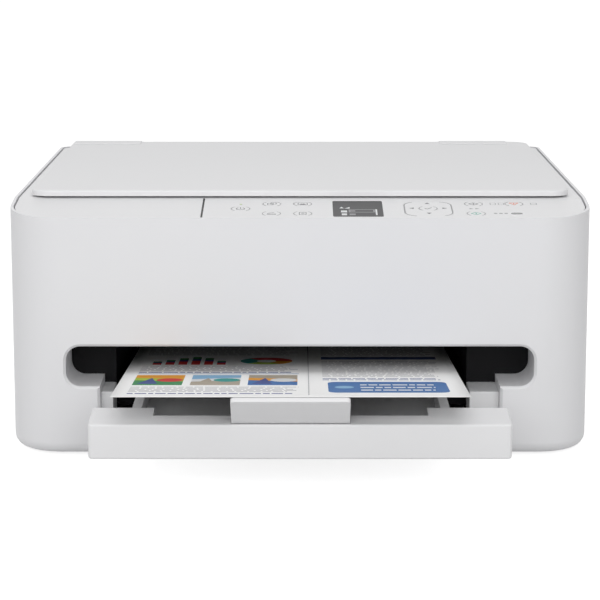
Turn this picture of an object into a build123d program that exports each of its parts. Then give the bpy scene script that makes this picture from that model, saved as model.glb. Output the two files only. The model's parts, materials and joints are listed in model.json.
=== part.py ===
from build123d import *
import os
from math import atan, cos, radians, sin

os.makedirs("parts", exist_ok=True)

# All sizes are millimetres. X runs to the viewer's right, Y to the back, Z up.
# The origin is on the floor, under the middle of the printer with its tray drawn out.

# Casing: as wide as the paper channel with a bay on either side
bay_w = 72.8
body_d = 355.0
casing_h = 161.9
foot_h = 2.0
wall = 2.0
front_corner_r = 34.0
back_corner_r = 9.0
bottom_edge_r = 8.0
rim_drop = 6.3
slope_run = 56.0
lip_bevel = 1.6
outer_r_least = 1.0
rib_x = 100.0
rib_w = 8.0
rib_h = 20.0
rib_d = 8.0
rib_gap = 0.2
floor_plate_t = 1.2
floor_plate_end = 8.0

# Top deck and scanner unit
seam = 1.0
deck_below_rim = 0.8
deck_skin = 2.5
front_deck_t = 5.2
skirt_inset = 2.0
scanner_h = 31.0
base_plate_t = 2.0
glass_lap_x = 5.0
glass_lap_y = 4.5
glass_t = 3.0
glass_view_w = 300.0
glass_view_d = 217.0
glass_front = 68.0
glass_under = 0.8
glass_rail_in = 26.5
scan_bar_w = 22.0
scan_bar_h = 16.0
scan_park = 5.0
scan_slot_w = 3.0
scan_slot_in = 6.0
scan_slot_d = 6.0
scan_rail_r = 3.0
scan_rail_up = 4.5
scan_boss_w = 6.0
scan_boss_d = 12.0
scan_boss_up = 5.0
scanner_axis_in = 7.5
scanner_axis_down = 1.8
scanner_pin_r = 1.2
scanner_pin_in = 0.8
running_gap = 0.06

# Lid
lid_side = 10.3
lid_front = 55.0
lid_t = 3.9
lid_gap = 1.3
lid_back_gap = 2.5
lid_corner_r = 12.0
lid_back_r = 14.0
lid_chamfer = 7.0
lid_top_r = 1.3
lid_hollow = 1.9
lid_rim = 6.0
lid_axis_in = 2.5
lid_axis_up = 2.1
lid_hollow_back = 14.0
lug_side_gap = 0.4
lug_front_gap = 0.6
lid_pin_len = 5.0
lid_pin_gap = 0.5
lid_pin_r = 0.9
lug_w = 10.0
lug_r = 1.7
cover_w = 52.8
cover_d = 20.0
cover_t = 0.6
left_cover_in = 38.0
right_cover_in = 53.3
pad_drop = 0.4
pad_over = 4.0

# Front opening
mouth_side = 21.9
mouth_low = 45.0
mouth_high = 71.6
mouth_r = 9.5
mouth_depth = 41.0
opening_side = 13.4
tunnel_t = 2.0
frame_t = 2.0

# Paper path
paper_x = -5.7
paper_w = 215.9
paper_l = 279.4
sheet_t = 0.3
channel_side = 8.75
channel_high = 69.0
channel_from_back = 93.0
guide_from_back = 37.0
guide_under = 0.5
runner_h = 3.5
runner_in = 4.0
runner_side = 0.1
frame_lift = 0.1
shaft_room = 0.3
ledge_front = 11.0
ledge_top = 39.4

# Output tray, drawn out as it stands
tray_out = 97.6
tray_side_gap = 1.1
block_low = 21.6
block_high = 43.3
front_panel_t = 3.2
cheek_t = 2.6
cheek_d = 9.6
lip_depth = 31.7
lip_rise = 3.2
lip_under = 39.8
notch_w = 169.0
notch_lip = 17.1
tub_side = 16.5
tub_rim = 6.0
tub_rim_z = 41.0
tub_floor_z = 30.0
tub_floor_t = 3.0
tub_from_back = 190.0
tub_end_t = 3.0
tub_end_h = 5.0
tray_edge_r = 2.4
tray_lip_r = 1.4
cheek_in = 1.0
cheek_up = 0.5
flange_w = 5.4
flange_front = 66.0
slide_gap = 0.35

# Paper stop
stop_w = 72.0
stop_len = 32.0
stop_t = 3.2
stop_lean = 40.1
stop_set_back = 5.5
stop_axis_z = 42.6
stop_barrel_r = 1.6
stop_pin_r = 0.9
stop_pocket_gap = 0.4
stop_wall = 1.3
stop_pocket_down = 0.3
stop_pin_len = 3.5
stop_bore_len = 4.0
stop_corner_r = 2.2
sheet_over = 0.4
sheet_end = 2.0

# Cassette
cassette_low = 3.6
cassette_high = 21.0
cassette_from_back = 50.0
cassette_front = 3.5
cassette_wall = 1.8
cassette_floor = 1.6
cassette_rear_h = 9.0
cassette_gap = 0.6
face_t = 3.2
face_gap = 1.1
face_low = 0.6
face_high = 0.4
face_edge_r = 1.2
recess_w = 70.0
recess_h = 9.5
side_guide_t = 1.6
side_guide_d = 90.0
side_guide_h = 12.0
side_guide_y = 118.0
guide_gap = 0.4
guide_lift = 0.3
guide_foot_w = 10.0
guide_foot_t = 1.0
guide_foot_y = 32.0
guide_foot_d = 26.0
end_guide_w = 44.0
end_guide_t = 2.0
end_guide_y = 19.0
end_foot_w = 22.0
end_foot_d = 25.0

# Control panel
panel_left = -62.9
panel_t = 2.5
bar_w = 1.3
key_r = 6.1
power_key_r = 6.25
key_gap = 0.2
key_t = 3.6
key_flange = 0.9
key_flange_t = 0.9
key_travel = 0.6
power_x = -38.8
power_y = 27.6
left_keys_x = -18.5
mid_keys_x = 1.75
back_keys_y = 40.2
front_keys_y = 15.2
screen_x = 37.7
screen_y = 27.6
screen_w = 32.6
screen_d = 41.0
screen_r = 1.6
pad_x = 83.6
pad_y = 27.1
pad_w = 31.2
pad_d = 37.3
pad_r = 9.0
ok_y = 28.4
start_x = 114.0
stop_key_x = 140.6
lamp_x = 140.3
lamp_w = 7.6
lamp_d = 4.6
led_y = 39.0
led_r = 0.9
board_t = 1.6
board_gap = 0.4
board_over = 10.0
board_d = 42.0
board_y = 28.0
panel_hole_over = 12.0
panel_hole_d = 43.0
screen_gap = 0.05
module_in = 0.5
lamp_end = 0.1
bar_low = 0.3
bar_gap = 0.1
seat_back = 0.5

# Print mechanism
rail_r = 4.0
rail_from_back = 22.0
rail_over = 1.0
rail_z = 80.0
left_plate_in = 33.5
right_plate_in = 8.5
plate_t = 1.5
plate_from_back = 5.0
plate_h = 90.0
beam_from_back = 15.0
beam_h = 16.0
feed_from_back = 33.0
feed_z = 49.0
feed_r = 7.0
feed_sleeve = 30.0
eject_from_back = 80.0
eject_z = 50.0
eject_r = 6.0
eject_sleeve = 9.0
roller_shaft_r = 3.0
shaft_over = 1.5
sleeve_step = 42.0
wheel_from_plate = 8.0
wheel_w = 6.0
wheel_over = 1.0
loop_w = 5.0
loop_t = 1.1
loop_gap = 0.3
platen_depth = 29.0
platen_from_back = 42.0
platen_z = 55.5
platen_t = 5.5
rib_step = 22.0
platen_rib_w = 2.0
platen_rib_end = 2.0
platen_rib_h = 0.45
ear_x = 34.0
ear_w = 4.0
ear_half = 5.0
ear_bore_half = 40.0
ear_gap = 0.05
carriage_w = 76.0
carriage_d = 44.0
carriage_from_back = 30.0
carriage_low = 58.0
carriage_h = 50.0
carriage_in = 41.0
carriage_floor = 2.0
boss_half = 30.0
boss_wall = 3.5
boss_bore_half = 40.0
clip_half = 6.0
clip_gap = 0.3
cartridge_w = 30.0
cartridge_d = 37.0
cartridge_h = 47.0
cartridge_gap = 0.3
cartridge_mid = 2.0
cartridge_top_r = 3.0
tab_half = 8.0
tab_in = 4.0
tab_d = 8.0
tab_h = 6.0
belt_from_back = 10.0
belt_low = 92.0
belt_w = 6.0
belt_t = 1.0
pulley_r = 4.0
pulley_pin_r = 1.2
pulley_gap = 0.05
belt_gap = 0.1
left_pulley_out = 4.0
right_pulley_in = 11.0
motor_r = 12.0
motor_top_gap = 4.1
motor_set = 5.0
motor_up = 2.0
motor_plate_t = 2.0
motor_plate_x = 5.5
motor_plate_up = 12.0
motor_pin_down = 1.6
motor_pin_up = 4.5
bracket_in = 6.0
bracket_front = 5.0
bracket_t = 1.6
bracket_down = 4.0
bracket_pin_down = 3.0
arm_from_back = 55.0
arm_pivot_z = 37.0
arm_reach = 20.0
arm_roller_z = 27.0
arm_roller_r = 8.0
arm_w = 24.0
arm_shaft_r = 2.5
arm_cheek_t = 3.0
arm_big = 4.0
arm_small = 3.0
arm_tip = 1.0
arm_shaft_half = 39.0
arm_roller_pin_r = 1.5
arm_roller_gap = 0.4
station_gap = 2.0
station_side = 3.0
station_under = 5.0
cap_half = 8.0
cap_in = 6.0
cap_d = 16.0
cap_down = 1.0
cap_gap = 0.6

# Back of the casing
cover_low = 24.0
cover_high = 104.0
back_cover_w = 208.0
back_gap = 0.4
back_pin_r = 0.6
back_pin_up = 2.5
back_pin_len = 2.5
back_bore_len = 3.0
back_lift = 0.8
grip_half = 14.0
grip_h = 12.0
inlet_in = 39.5
inlet_z = 30.0
inlet_w = 24.0
inlet_h = 16.0
inlet_pin = 4.2
inlet_hole_r = 4.6
inlet_depth = 11.0
inlet_pin_r = 1.2
inlet_pin_len = 10.0
usb_in = 18.5
usb_z = 30.0
usb_w = 13.0
usb_h = 11.6
usb_wall = 1.5
usb_depth = 12.0
usb_tongue_half = 2.8
usb_tongue_h = 1.6
usb_tongue_in = 4.0
socket_d = 18.0
socket_set = 0.4

# Boards and power supply
board_side = 8.0
board_front = 60.0
board_from_back = 115.0
board_lift = 6.0
pillar_r = 3.0
pillar_in = 6.0
chip_in = 20.0
chip_w = 14.0
chip_front = 90.0
chip_d = 20.0
chip_h = 6.0
supply_w = 44.0
supply_side = 9.4
supply_from_back = 105.0
supply_d = 100.0
supply_h = 42.0

# Screws and feet
screw_head_t = 1.2
screw_r = 3.2
screw_socket = 0.45
screw_in = 15.5
screw_low = 62.0
screw_rise = 58.0
foot_r = 7.0
foot_in_x = 45.0
foot_in_y = 48.0

# Worked out from the sizes above
channel_w = paper_w + 2 * channel_side
body_w = channel_w + 2 * bay_w
opening_w = channel_w + 2 * opening_side
mouth_w = opening_w + 2 * mouth_side
block_w = opening_w - 2 * tray_side_gap
tub_w = channel_w - 2 * tub_side
lid_w = body_w - 2 * lid_side
glass_w = glass_view_w + 2 * glass_lap_x
glass_d = glass_view_d + 2 * glass_lap_y
channel_back = body_d - channel_from_back
guide_back = body_d - guide_from_back
tub_back = body_d - tub_from_back
cassette_back = body_d - cassette_from_back
rail_y = body_d - rail_from_back
plate_back = body_d - plate_from_back
beam_y = body_d - beam_from_back
feed_y = body_d - feed_from_back
eject_y = body_d - eject_from_back
platen_back = body_d - platen_from_back
platen_front = platen_back - platen_depth
carriage_back = body_d - carriage_from_back
carriage_front = carriage_back - carriage_d
belt_y = body_d - belt_from_back
arm_pivot_y = body_d - arm_from_back
arm_roller_y = arm_pivot_y - arm_reach
left_plate_x = left_plate_in - body_w / 2
right_plate_x = body_w / 2 - right_plate_in
left_pulley_x = left_plate_x - left_pulley_out
right_pulley_x = right_plate_x - right_pulley_in
carriage_x = right_plate_x - carriage_in
left_cover_x = left_cover_in - body_w / 2
right_cover_x = body_w / 2 - right_cover_in
inlet_x = body_w / 2 - inlet_in
usb_x = usb_in - body_w / 2
screw_x = body_w / 2 - screw_in
lean = radians(stop_lean)
stop_reach = stop_len * cos(lean) + stop_t / 2 * sin(lean) - stop_set_back
reach = tray_out + stop_reach
front = (reach - body_d) / 2
back = front + body_d
mid_y = (front + back) / 2
base_z = foot_h
rim_z = base_z + casing_h
deck_z = rim_z - deck_below_rim
scan_low = deck_z - scanner_h
slope = atan(rim_drop / slope_run)
deck_inset = wall + seam
glass_z = deck_z - deck_skin
glass_mid = front + glass_front + glass_view_d / 2
scan_bar_x = -glass_view_w / 2 + scan_bar_w / 2 + scan_park
scan_bar_z = glass_z - glass_t - glass_under - scan_bar_h
scan_rail_z = scan_bar_z + scan_rail_up
lid_back = back - wall - lid_back_gap
lid_low = deck_z + lid_gap
lid_axis_y = lid_back - lid_axis_in
lid_axis_z = lid_low + lid_axis_up
lid_d = lid_back - front - lid_front
scanner_axis_y = back - scanner_axis_in
scanner_axis_z = deck_z - scanner_axis_down
channel_left = paper_x - channel_w / 2
channel_right = paper_x + channel_w / 2
tray_front = front - tray_out
tub_left = paper_x - tub_w / 2
tub_right = paper_x + tub_w / 2
stop_axis_y = tray_front + stop_set_back
stop_tip_y = stop_axis_y - stop_len * cos(lean) + stop_t / 2 * sin(lean)
stop_tip_z = base_z + stop_axis_z + stop_len * sin(lean) + stop_t / 2 * cos(lean)
board_depth = key_t + key_travel + board_gap
plate_top = base_z + wall + floor_plate_t
frame_front = front + mouth_depth
panel_back = front + slope_run - seat_back
rail_half = body_w / 2 - glass_rail_in


def block(x0, x1, y0, y1, z0, z1, mode=Mode.ADD):
    with Locations(((x0 + x1) / 2, (y0 + y1) / 2, (z0 + z1) / 2)):
        Box(x1 - x0, y1 - y0, z1 - z0, mode=mode)


def rod(x0, x1, y, z, radius, mode=Mode.ADD):
    with Locations(((x0 + x1) / 2, y, z)):
        Cylinder(radius, x1 - x0, rotation=(0, 90, 0), mode=mode)


def finish(part, name):
    part.label = name
    export_step(part, f"parts/{name}.step")


# Outline of the casing seen from above, drawn in by an inset
def plan_outline(height, inset):
    with BuildSketch(Plane.XY.offset(height)) as outline:
        with Locations((0, mid_y)):
            Rectangle(body_w - 2 * inset, body_d - 2 * inset)
        fillet(outline.vertices().group_by(Axis.Y)[0], front_corner_r - inset)
        fillet(outline.vertices().group_by(Axis.Y)[-1], max(back_corner_r - inset, outer_r_least))
    return outline.sketch


# Side view of a layer that follows the rim's line, level behind and sloping in front
def rim_layer(top_drop, bottom_drop):
    far = 10.0
    fall = rim_drop * (slope_run + far) / slope_run
    with BuildSketch(Plane.YZ.offset(-body_w)) as profile:
        with BuildLine():
            Polyline(
                (front - far, rim_z - fall - top_drop),
                (front + slope_run, rim_z - top_drop),
                (back + far, rim_z - top_drop),
                (back + far, rim_z - bottom_drop),
                (front + slope_run, rim_z - bottom_drop),
                (front - far, rim_z - fall - bottom_drop),
                close=True,
            )
        make_face()
    return profile.sketch


# The front opening: a long slot with round ends over a square-sided opening
def mouth_outline(y, grow):
    with BuildSketch(Plane.XZ.offset(-y)) as outline:
        with Locations((0, base_z + (mouth_low + mouth_high) / 2)):
            RectangleRounded(mouth_w + 2 * grow, mouth_high - mouth_low + 2 * grow, mouth_r + grow)
        with Locations((0, base_z + (wall + mouth_low + mouth_r) / 2)):
            Rectangle(opening_w + 2 * grow, mouth_low + mouth_r - wall)
    return outline.sketch


# A plane on the sloping panel; its Y runs up the slope from the front edge
panel_front_z = rim_z - rim_drop - deck_below_rim
panel_plane = Plane(
    origin=(0, front, panel_front_z),
    x_dir=(1, 0, 0),
    z_dir=(0, -sin(slope), cos(slope)),
)


# The back face, where the casing's screws go in
screw_plane = Plane(
    origin=(0, back, base_z + screw_low + screw_rise / 2),
    x_dir=(-1, 0, 0),
    z_dir=(0, 1, 0),
)

# Outer casing
with BuildPart() as casing_hollow:
    extrude(plan_outline(base_z + wall, wall), amount=casing_h)
    fillet(casing_hollow.faces().sort_by(Axis.Z)[0].edges(), bottom_edge_r - wall)

with BuildPart() as outer_casing:
    extrude(plan_outline(base_z, 0), amount=casing_h)
    fillet(outer_casing.faces().sort_by(Axis.Z)[0].edges(), bottom_edge_r)
    extrude(rim_layer(0, casing_h + 20), amount=2 * body_w, mode=Mode.INTERSECT)
    add(casing_hollow.part, mode=Mode.SUBTRACT)
    extrude(mouth_outline(front + mouth_depth, tunnel_t), amount=mouth_depth - wall / 2)
    block(-opening_w / 2 - tunnel_t, opening_w / 2 + tunnel_t, front + bottom_edge_r, front + mouth_depth,
          base_z + wall / 2, base_z + wall)
    extrude(mouth_outline(front + mouth_depth + 1, 0), amount=mouth_depth + 2, mode=Mode.SUBTRACT)
    for rest_x in (-rib_x, rib_x):
        block(rest_x - rib_w / 2, rest_x + rib_w / 2, front + wall / 2, front + wall / 2 + rib_d,
              scan_low - base_plate_t - rib_h, scan_low - base_plate_t - rib_gap)
    block(paper_x - back_cover_w / 2, paper_x + back_cover_w / 2, back - wall - 1, back + 1,
          base_z + cover_low, base_z + cover_high, mode=Mode.SUBTRACT)
    rod(paper_x - back_cover_w / 2 - back_bore_len, paper_x + back_cover_w / 2 + back_bore_len,
        back - wall / 2, base_z + cover_low + back_pin_up, back_pin_r + running_gap, mode=Mode.SUBTRACT)
    block(inlet_x - inlet_w / 2, inlet_x + inlet_w / 2, back - wall - 1, back + 1,
          base_z + inlet_z - inlet_h / 2, base_z + inlet_z + inlet_h / 2, mode=Mode.SUBTRACT)
    block(usb_x - usb_w / 2, usb_x + usb_w / 2, back - wall - 1, back + 1,
          base_z + usb_z - usb_h / 2, base_z + usb_z + usb_h / 2, mode=Mode.SUBTRACT)
    rod(-body_w / 2 + scanner_pin_in, body_w / 2 - scanner_pin_in, scanner_axis_y, scanner_axis_z,
        scanner_pin_r + running_gap, mode=Mode.SUBTRACT)
    with BuildSketch(screw_plane):
        with GridLocations(2 * screw_x, screw_rise, 2, 2):
            Circle(screw_r)
    extrude(amount=-screw_head_t, mode=Mode.SUBTRACT)
    with BuildSketch(Plane.XZ.offset(-front)):
        with Locations((0, base_z + (mouth_low + mouth_high) / 2)):
            RectangleRounded(mouth_w + 2 * lip_bevel, mouth_high - mouth_low + 2 * lip_bevel,
                             mouth_r + lip_bevel)
    extrude(amount=-lip_bevel, taper=45, mode=Mode.SUBTRACT)
    with BuildSketch(Plane.XZ.offset(-front)):
        with Locations((0, base_z + (wall + mouth_low) / 2)):
            Rectangle(opening_w + 2 * lip_bevel, mouth_low - wall)
    extrude(amount=-lip_bevel, taper=45, mode=Mode.SUBTRACT)
finish(outer_casing.part, "outer_casing")

# Rubber feet
with BuildPart() as rubber_feet:
    with BuildSketch(Plane.XY):
        with Locations((0, mid_y)):
            with GridLocations(body_w - 2 * foot_in_x, body_d - 2 * foot_in_y, 2, 2):
                Circle(foot_r)
    extrude(amount=foot_h)
finish(rubber_feet.part, "rubber_feet")

# Steel base plate
with BuildPart() as base_plate:
    with BuildSketch(Plane.XY.offset(base_z + wall)):
        with Locations((0, (frame_front + frame_t + back - floor_plate_end) / 2)):
            Rectangle(body_w - 2 * bottom_edge_r, back - floor_plate_end - frame_front - frame_t - 2)
    extrude(amount=floor_plate_t)
finish(base_plate.part, "base_plate")

# White ledges that stand in the lower opening
with BuildPart() as exit_ledges:
    block(-opening_w / 2, channel_left, front + ledge_front, front + mouth_depth,
          base_z + wall, base_z + ledge_top)
    block(channel_right, opening_w / 2, front + ledge_front, front + mouth_depth,
          base_z + wall, base_z + ledge_top)
finish(exit_ledges.part, "exit_ledges")

# Black frame behind the mouth, with the paper channel and the tray's runners
with BuildPart() as exit_frame:
    extrude(mouth_outline(frame_front + frame_t, tunnel_t), amount=frame_t)
    block(channel_left - frame_t, channel_right + frame_t, frame_front, front + channel_back,
          plate_top + frame_lift, base_z + channel_high + frame_t)
    block(channel_left - frame_t, channel_left, frame_front, front + guide_back,
          plate_top + frame_lift, base_z + platen_z - guide_under)
    block(channel_right, channel_right + frame_t, frame_front, front + guide_back,
          plate_top + frame_lift, base_z + platen_z - guide_under)
    block(channel_left, channel_right, frame_front - 1, front + channel_back + 1,
          plate_top, base_z + channel_high, mode=Mode.SUBTRACT)
    for side, inner in ((channel_left, tub_left), (channel_right, tub_right)):
        edge = inner + (side - inner) * runner_side
        low_x = min(side, edge)
        high_x = max(side, edge)
        block(low_x, high_x, frame_front + runner_in, front + channel_back,
              base_z + tub_floor_z - tub_floor_t - slide_gap - runner_h,
              base_z + tub_floor_z - tub_floor_t - slide_gap)
        block(low_x, high_x, frame_front + runner_in, front + channel_back,
              base_z + tub_floor_z + slide_gap, base_z + tub_floor_z + slide_gap + runner_h)
    rod(-body_w / 2, body_w / 2, front + eject_y, base_z + eject_z, roller_shaft_r + shaft_room,
        mode=Mode.SUBTRACT)
finish(exit_frame.part, "exit_frame")

# Output tray
with BuildPart() as output_tray:
    with BuildSketch(Plane.YZ.offset(-block_w / 2)):
        with BuildLine():
            Polyline(
                (tray_front, base_z + block_low),
                (tray_front, base_z + block_high),
                (tray_front + lip_depth, base_z + block_high + lip_rise),
                (tray_front + lip_depth, base_z + lip_under),
                (tray_front + front_panel_t, base_z + lip_under),
                (tray_front + front_panel_t, base_z + block_low),
                close=True,
            )
        make_face()
    extrude(amount=block_w)
    for cheek in (-block_w / 2, block_w / 2 - cheek_t):
        block(cheek, cheek + cheek_t, tray_front + cheek_in, tray_front + cheek_d,
              base_z + block_low, base_z + lip_under + cheek_up)
    fillet(output_tray.edges().filter_by(Axis.Z).group_by(Axis.Y)[0], tray_edge_r)
    fillet(output_tray.edges().filter_by(Axis.X).filter_by_position(
        Axis.Y, tray_front - 0.1, tray_front + 0.1), tray_lip_r)
    block(paper_x - notch_w / 2, paper_x + notch_w / 2, tray_front + notch_lip,
          tray_front + lip_depth + 1, base_z + lip_under - 1, base_z + block_high + 8,
          mode=Mode.SUBTRACT)
    block(tub_left, tub_right, tray_front + front_panel_t / 2, front + tub_back,
          base_z + tub_floor_z - tub_floor_t, base_z + tub_floor_z)
    for rim_x in (tub_left, tub_right - tub_rim):
        block(rim_x, rim_x + tub_rim, tray_front + front_panel_t / 2, front + tub_back,
              base_z + tub_floor_z - tub_floor_t, base_z + tub_rim_z)
    block(tub_left - flange_w, tub_right + flange_w, front + flange_front, front + tub_back,
          base_z + tub_floor_z - tub_floor_t, base_z + tub_floor_z)
    block(tub_left, tub_right, front + tub_back - tub_end_t, front + tub_back,
          base_z + tub_floor_z, base_z + tub_floor_z + tub_end_h)
    block(paper_x - stop_w / 2 - stop_pocket_gap, paper_x + stop_w / 2 + stop_pocket_gap,
          tray_front + stop_wall, tray_front + notch_lip + 1,
          base_z + stop_axis_z - stop_barrel_r - stop_pocket_down, base_z + block_high + 8,
          mode=Mode.SUBTRACT)
    rod(paper_x - stop_w / 2 - stop_bore_len, paper_x + stop_w / 2 + stop_bore_len, stop_axis_y,
        base_z + stop_axis_z, stop_pin_r + running_gap, mode=Mode.SUBTRACT)
finish(output_tray.part, "output_tray")

# Paper stop, leaning forward on its pins
stop_plane = Plane(
    origin=(paper_x, stop_axis_y, base_z + stop_axis_z),
    x_dir=(1, 0, 0),
    z_dir=(0, sin(lean), cos(lean)),
)
with BuildPart() as paper_stop:
    with BuildSketch(stop_plane.offset(-stop_t / 2)) as stop_shape:
        with Locations((0, -stop_len / 2)):
            Rectangle(stop_w, stop_len)
        fillet(stop_shape.vertices().sort_by(Axis.Y)[:2], stop_corner_r)
    extrude(amount=stop_t)
    rod(paper_x - stop_w / 2, paper_x + stop_w / 2, stop_axis_y, base_z + stop_axis_z, stop_barrel_r)
    rod(paper_x - stop_w / 2 - stop_pin_len, paper_x + stop_w / 2 + stop_pin_len, stop_axis_y,
        base_z + stop_axis_z, stop_pin_r)
finish(paper_stop.part, "paper_stop")

# Letter sheet lying on the stop's tip and on the tray's side rims
sheet_front_z = stop_tip_z + running_gap
sheet_back_z = base_z + tub_rim_z + running_gap
sheet_tilt = atan((sheet_front_z - sheet_back_z) / (front + tub_back - sheet_end - stop_tip_y))
with BuildPart() as printed_sheet:
    with BuildSketch(Plane(
        origin=(paper_x, stop_tip_y, sheet_front_z),
        x_dir=(1, 0, 0),
        z_dir=(0, sin(sheet_tilt), cos(sheet_tilt)),
    )):
        with Locations((0, paper_l / 2 - sheet_over)):
            Rectangle(paper_w, paper_l)
    extrude(amount=sheet_t)
finish(printed_sheet.part, "printed_sheet")

# Cassette with its front and paper guides
tub_out_left = channel_left + cassette_gap
tub_out_right = channel_right - cassette_gap
with BuildPart() as cassette:
    block(tub_out_left, tub_out_right, front + cassette_front, front + cassette_back,
          base_z + cassette_low, base_z + cassette_high)
    block(tub_out_left + cassette_wall, tub_out_right - cassette_wall,
          front + cassette_front + cassette_wall, front + cassette_back - cassette_wall,
          base_z + cassette_low + cassette_floor, base_z + cassette_high + 1, mode=Mode.SUBTRACT)
    block(tub_out_left + cassette_wall, tub_out_right - cassette_wall,
          front + cassette_back - cassette_wall - 1, front + cassette_back + 1,
          base_z + cassette_rear_h, base_z + cassette_high + 1, mode=Mode.SUBTRACT)
    block(paper_x - recess_w / 2, paper_x + recess_w / 2, front + cassette_front - 1,
          front + cassette_front + cassette_wall + 1, base_z + cassette_low + cassette_floor,
          base_z + cassette_low + recess_h, mode=Mode.SUBTRACT)
finish(cassette.part, "cassette")

with BuildPart() as cassette_face:
    block(-opening_w / 2 + face_gap, opening_w / 2 - face_gap, front + cassette_front - face_t,
          front + cassette_front, base_z + wall + face_low, base_z + cassette_high + face_high)
    fillet(cassette_face.edges().filter_by(Axis.X).group_by(Axis.Y)[0], face_edge_r)
    block(paper_x - recess_w / 2, paper_x + recess_w / 2, front - 1, front + cassette_front + 1,
          base_z, base_z + cassette_low + recess_h, mode=Mode.SUBTRACT)
finish(cassette_face.part, "cassette_face")

guide_floor = base_z + cassette_low + cassette_floor + guide_lift
for name, side in (("width_guide_left", -1), ("width_guide_right", 1)):
    face_x = paper_x + side * (paper_w / 2 + guide_gap)
    outer_x = face_x + side * side_guide_t
    foot_x = face_x - side * guide_foot_w
    with BuildPart() as width_guide:
        block(min(face_x, outer_x), max(face_x, outer_x), front + side_guide_y,
              front + side_guide_y + side_guide_d, guide_floor, guide_floor + side_guide_h)
        block(min(face_x, foot_x), max(face_x, foot_x), front + side_guide_y + guide_foot_y,
              front + side_guide_y + guide_foot_y + guide_foot_d, guide_floor,
              guide_floor + guide_foot_t)
    finish(width_guide.part, name)

with BuildPart() as length_guide:
    block(paper_x - end_guide_w / 2, paper_x + end_guide_w / 2, front + end_guide_y,
          front + end_guide_y + end_guide_t, guide_floor, guide_floor + side_guide_h)
    block(paper_x - end_foot_w / 2, paper_x + end_foot_w / 2, front + end_guide_y,
          front + end_guide_y + end_foot_d, guide_floor, guide_floor + guide_foot_t)
finish(length_guide.part, "length_guide")

# Scanner housing: the top deck with its skirt
with BuildPart() as skirt:
    extrude(plan_outline(scan_low, deck_inset + skirt_inset), amount=scanner_h)
    extrude(rim_layer(deck_below_rim + 1, casing_h), amount=2 * body_w, mode=Mode.INTERSECT)

with BuildPart() as scanner_space:
    extrude(plan_outline(scan_low - 1, deck_inset + skirt_inset + wall), amount=scanner_h + 1)
    extrude(rim_layer(deck_below_rim + front_deck_t, casing_h), amount=2 * body_w,
            mode=Mode.INTERSECT)
    block(-body_w / 2 + 12, body_w / 2 - 12, front + slope_run + 4, back - 12,
          deck_z - front_deck_t - 1, deck_z - deck_skin)

with BuildPart() as scanner_housing:
    extrude(plan_outline(scan_low, deck_inset), amount=scanner_h + 1)
    extrude(rim_layer(deck_below_rim, deck_below_rim + front_deck_t), amount=2 * body_w,
            mode=Mode.INTERSECT)
    add(skirt.part)
    add(scanner_space.part, mode=Mode.SUBTRACT)
    block(-glass_view_w / 2, glass_view_w / 2, glass_mid - glass_view_d / 2,
          glass_mid + glass_view_d / 2, glass_z - 1, deck_z + 1, mode=Mode.SUBTRACT)
    with BuildSketch(panel_plane.offset(-panel_t)):
        with Locations(((panel_left - bar_w + body_w / 2) / 2, slope_run / 2 - 2.5)):
            Rectangle(body_w / 2 - panel_left + bar_w, slope_run + 5.5)
    extrude(amount=panel_t + 3, mode=Mode.SUBTRACT)
    with BuildSketch(panel_plane.offset(-front_deck_t - 4)):
        with Locations(((power_x + stop_key_x) / 2, board_y)):
            Rectangle(stop_key_x - power_x + 2 * panel_hole_over, panel_hole_d)
    extrude(amount=front_deck_t + 3, mode=Mode.SUBTRACT)
    for pin_x in (-body_w / 2 + 1.2, body_w / 2 - deck_inset - skirt_inset - 3):
        rod(pin_x, pin_x + deck_inset + skirt_inset + 1.8, scanner_axis_y, scanner_axis_z, scanner_pin_r)
    for lug_x in (left_cover_x, right_cover_x):
        block(lug_x - lug_w / 2, lug_x + lug_w / 2, lid_axis_y - lug_r, lid_axis_y + lug_r,
              deck_z - seat_back, lid_axis_z)
        rod(lug_x - lug_w / 2, lug_x + lug_w / 2, lid_axis_y, lid_axis_z, lug_r)
        rod(lug_x - lug_w / 2 - lid_pin_len, lug_x + lug_w / 2 + lid_pin_len, lid_axis_y, lid_axis_z,
            lid_pin_r)
finish(scanner_housing.part, "scanner_housing")

# Plate that closes the scanner from below, with the rail's two bosses
with BuildPart() as scanner_base:
    extrude(plan_outline(scan_low - base_plate_t, deck_inset + skirt_inset), amount=base_plate_t)
    for boss_x in (-rail_half - scan_boss_w, rail_half):
        block(boss_x, boss_x + scan_boss_w, glass_mid - scan_boss_d / 2, glass_mid + scan_boss_d / 2,
              scan_low, scan_rail_z + scan_boss_up)
    rod(1 - rail_half - scan_boss_w, rail_half + scan_boss_w - 1, glass_mid, scan_rail_z, scan_rail_r,
        mode=Mode.SUBTRACT)
finish(scanner_base.part, "scanner_base")

with BuildPart() as scan_rail:
    rod(1 - rail_half - scan_boss_w, rail_half + scan_boss_w - 1, glass_mid, scan_rail_z, scan_rail_r)
finish(scan_rail.part, "scan_rail")

with BuildPart() as platen_glass:
    block(-glass_w / 2, glass_w / 2, glass_mid - glass_d / 2, glass_mid + glass_d / 2,
          glass_z - glass_t, glass_z)
finish(platen_glass.part, "platen_glass")

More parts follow.
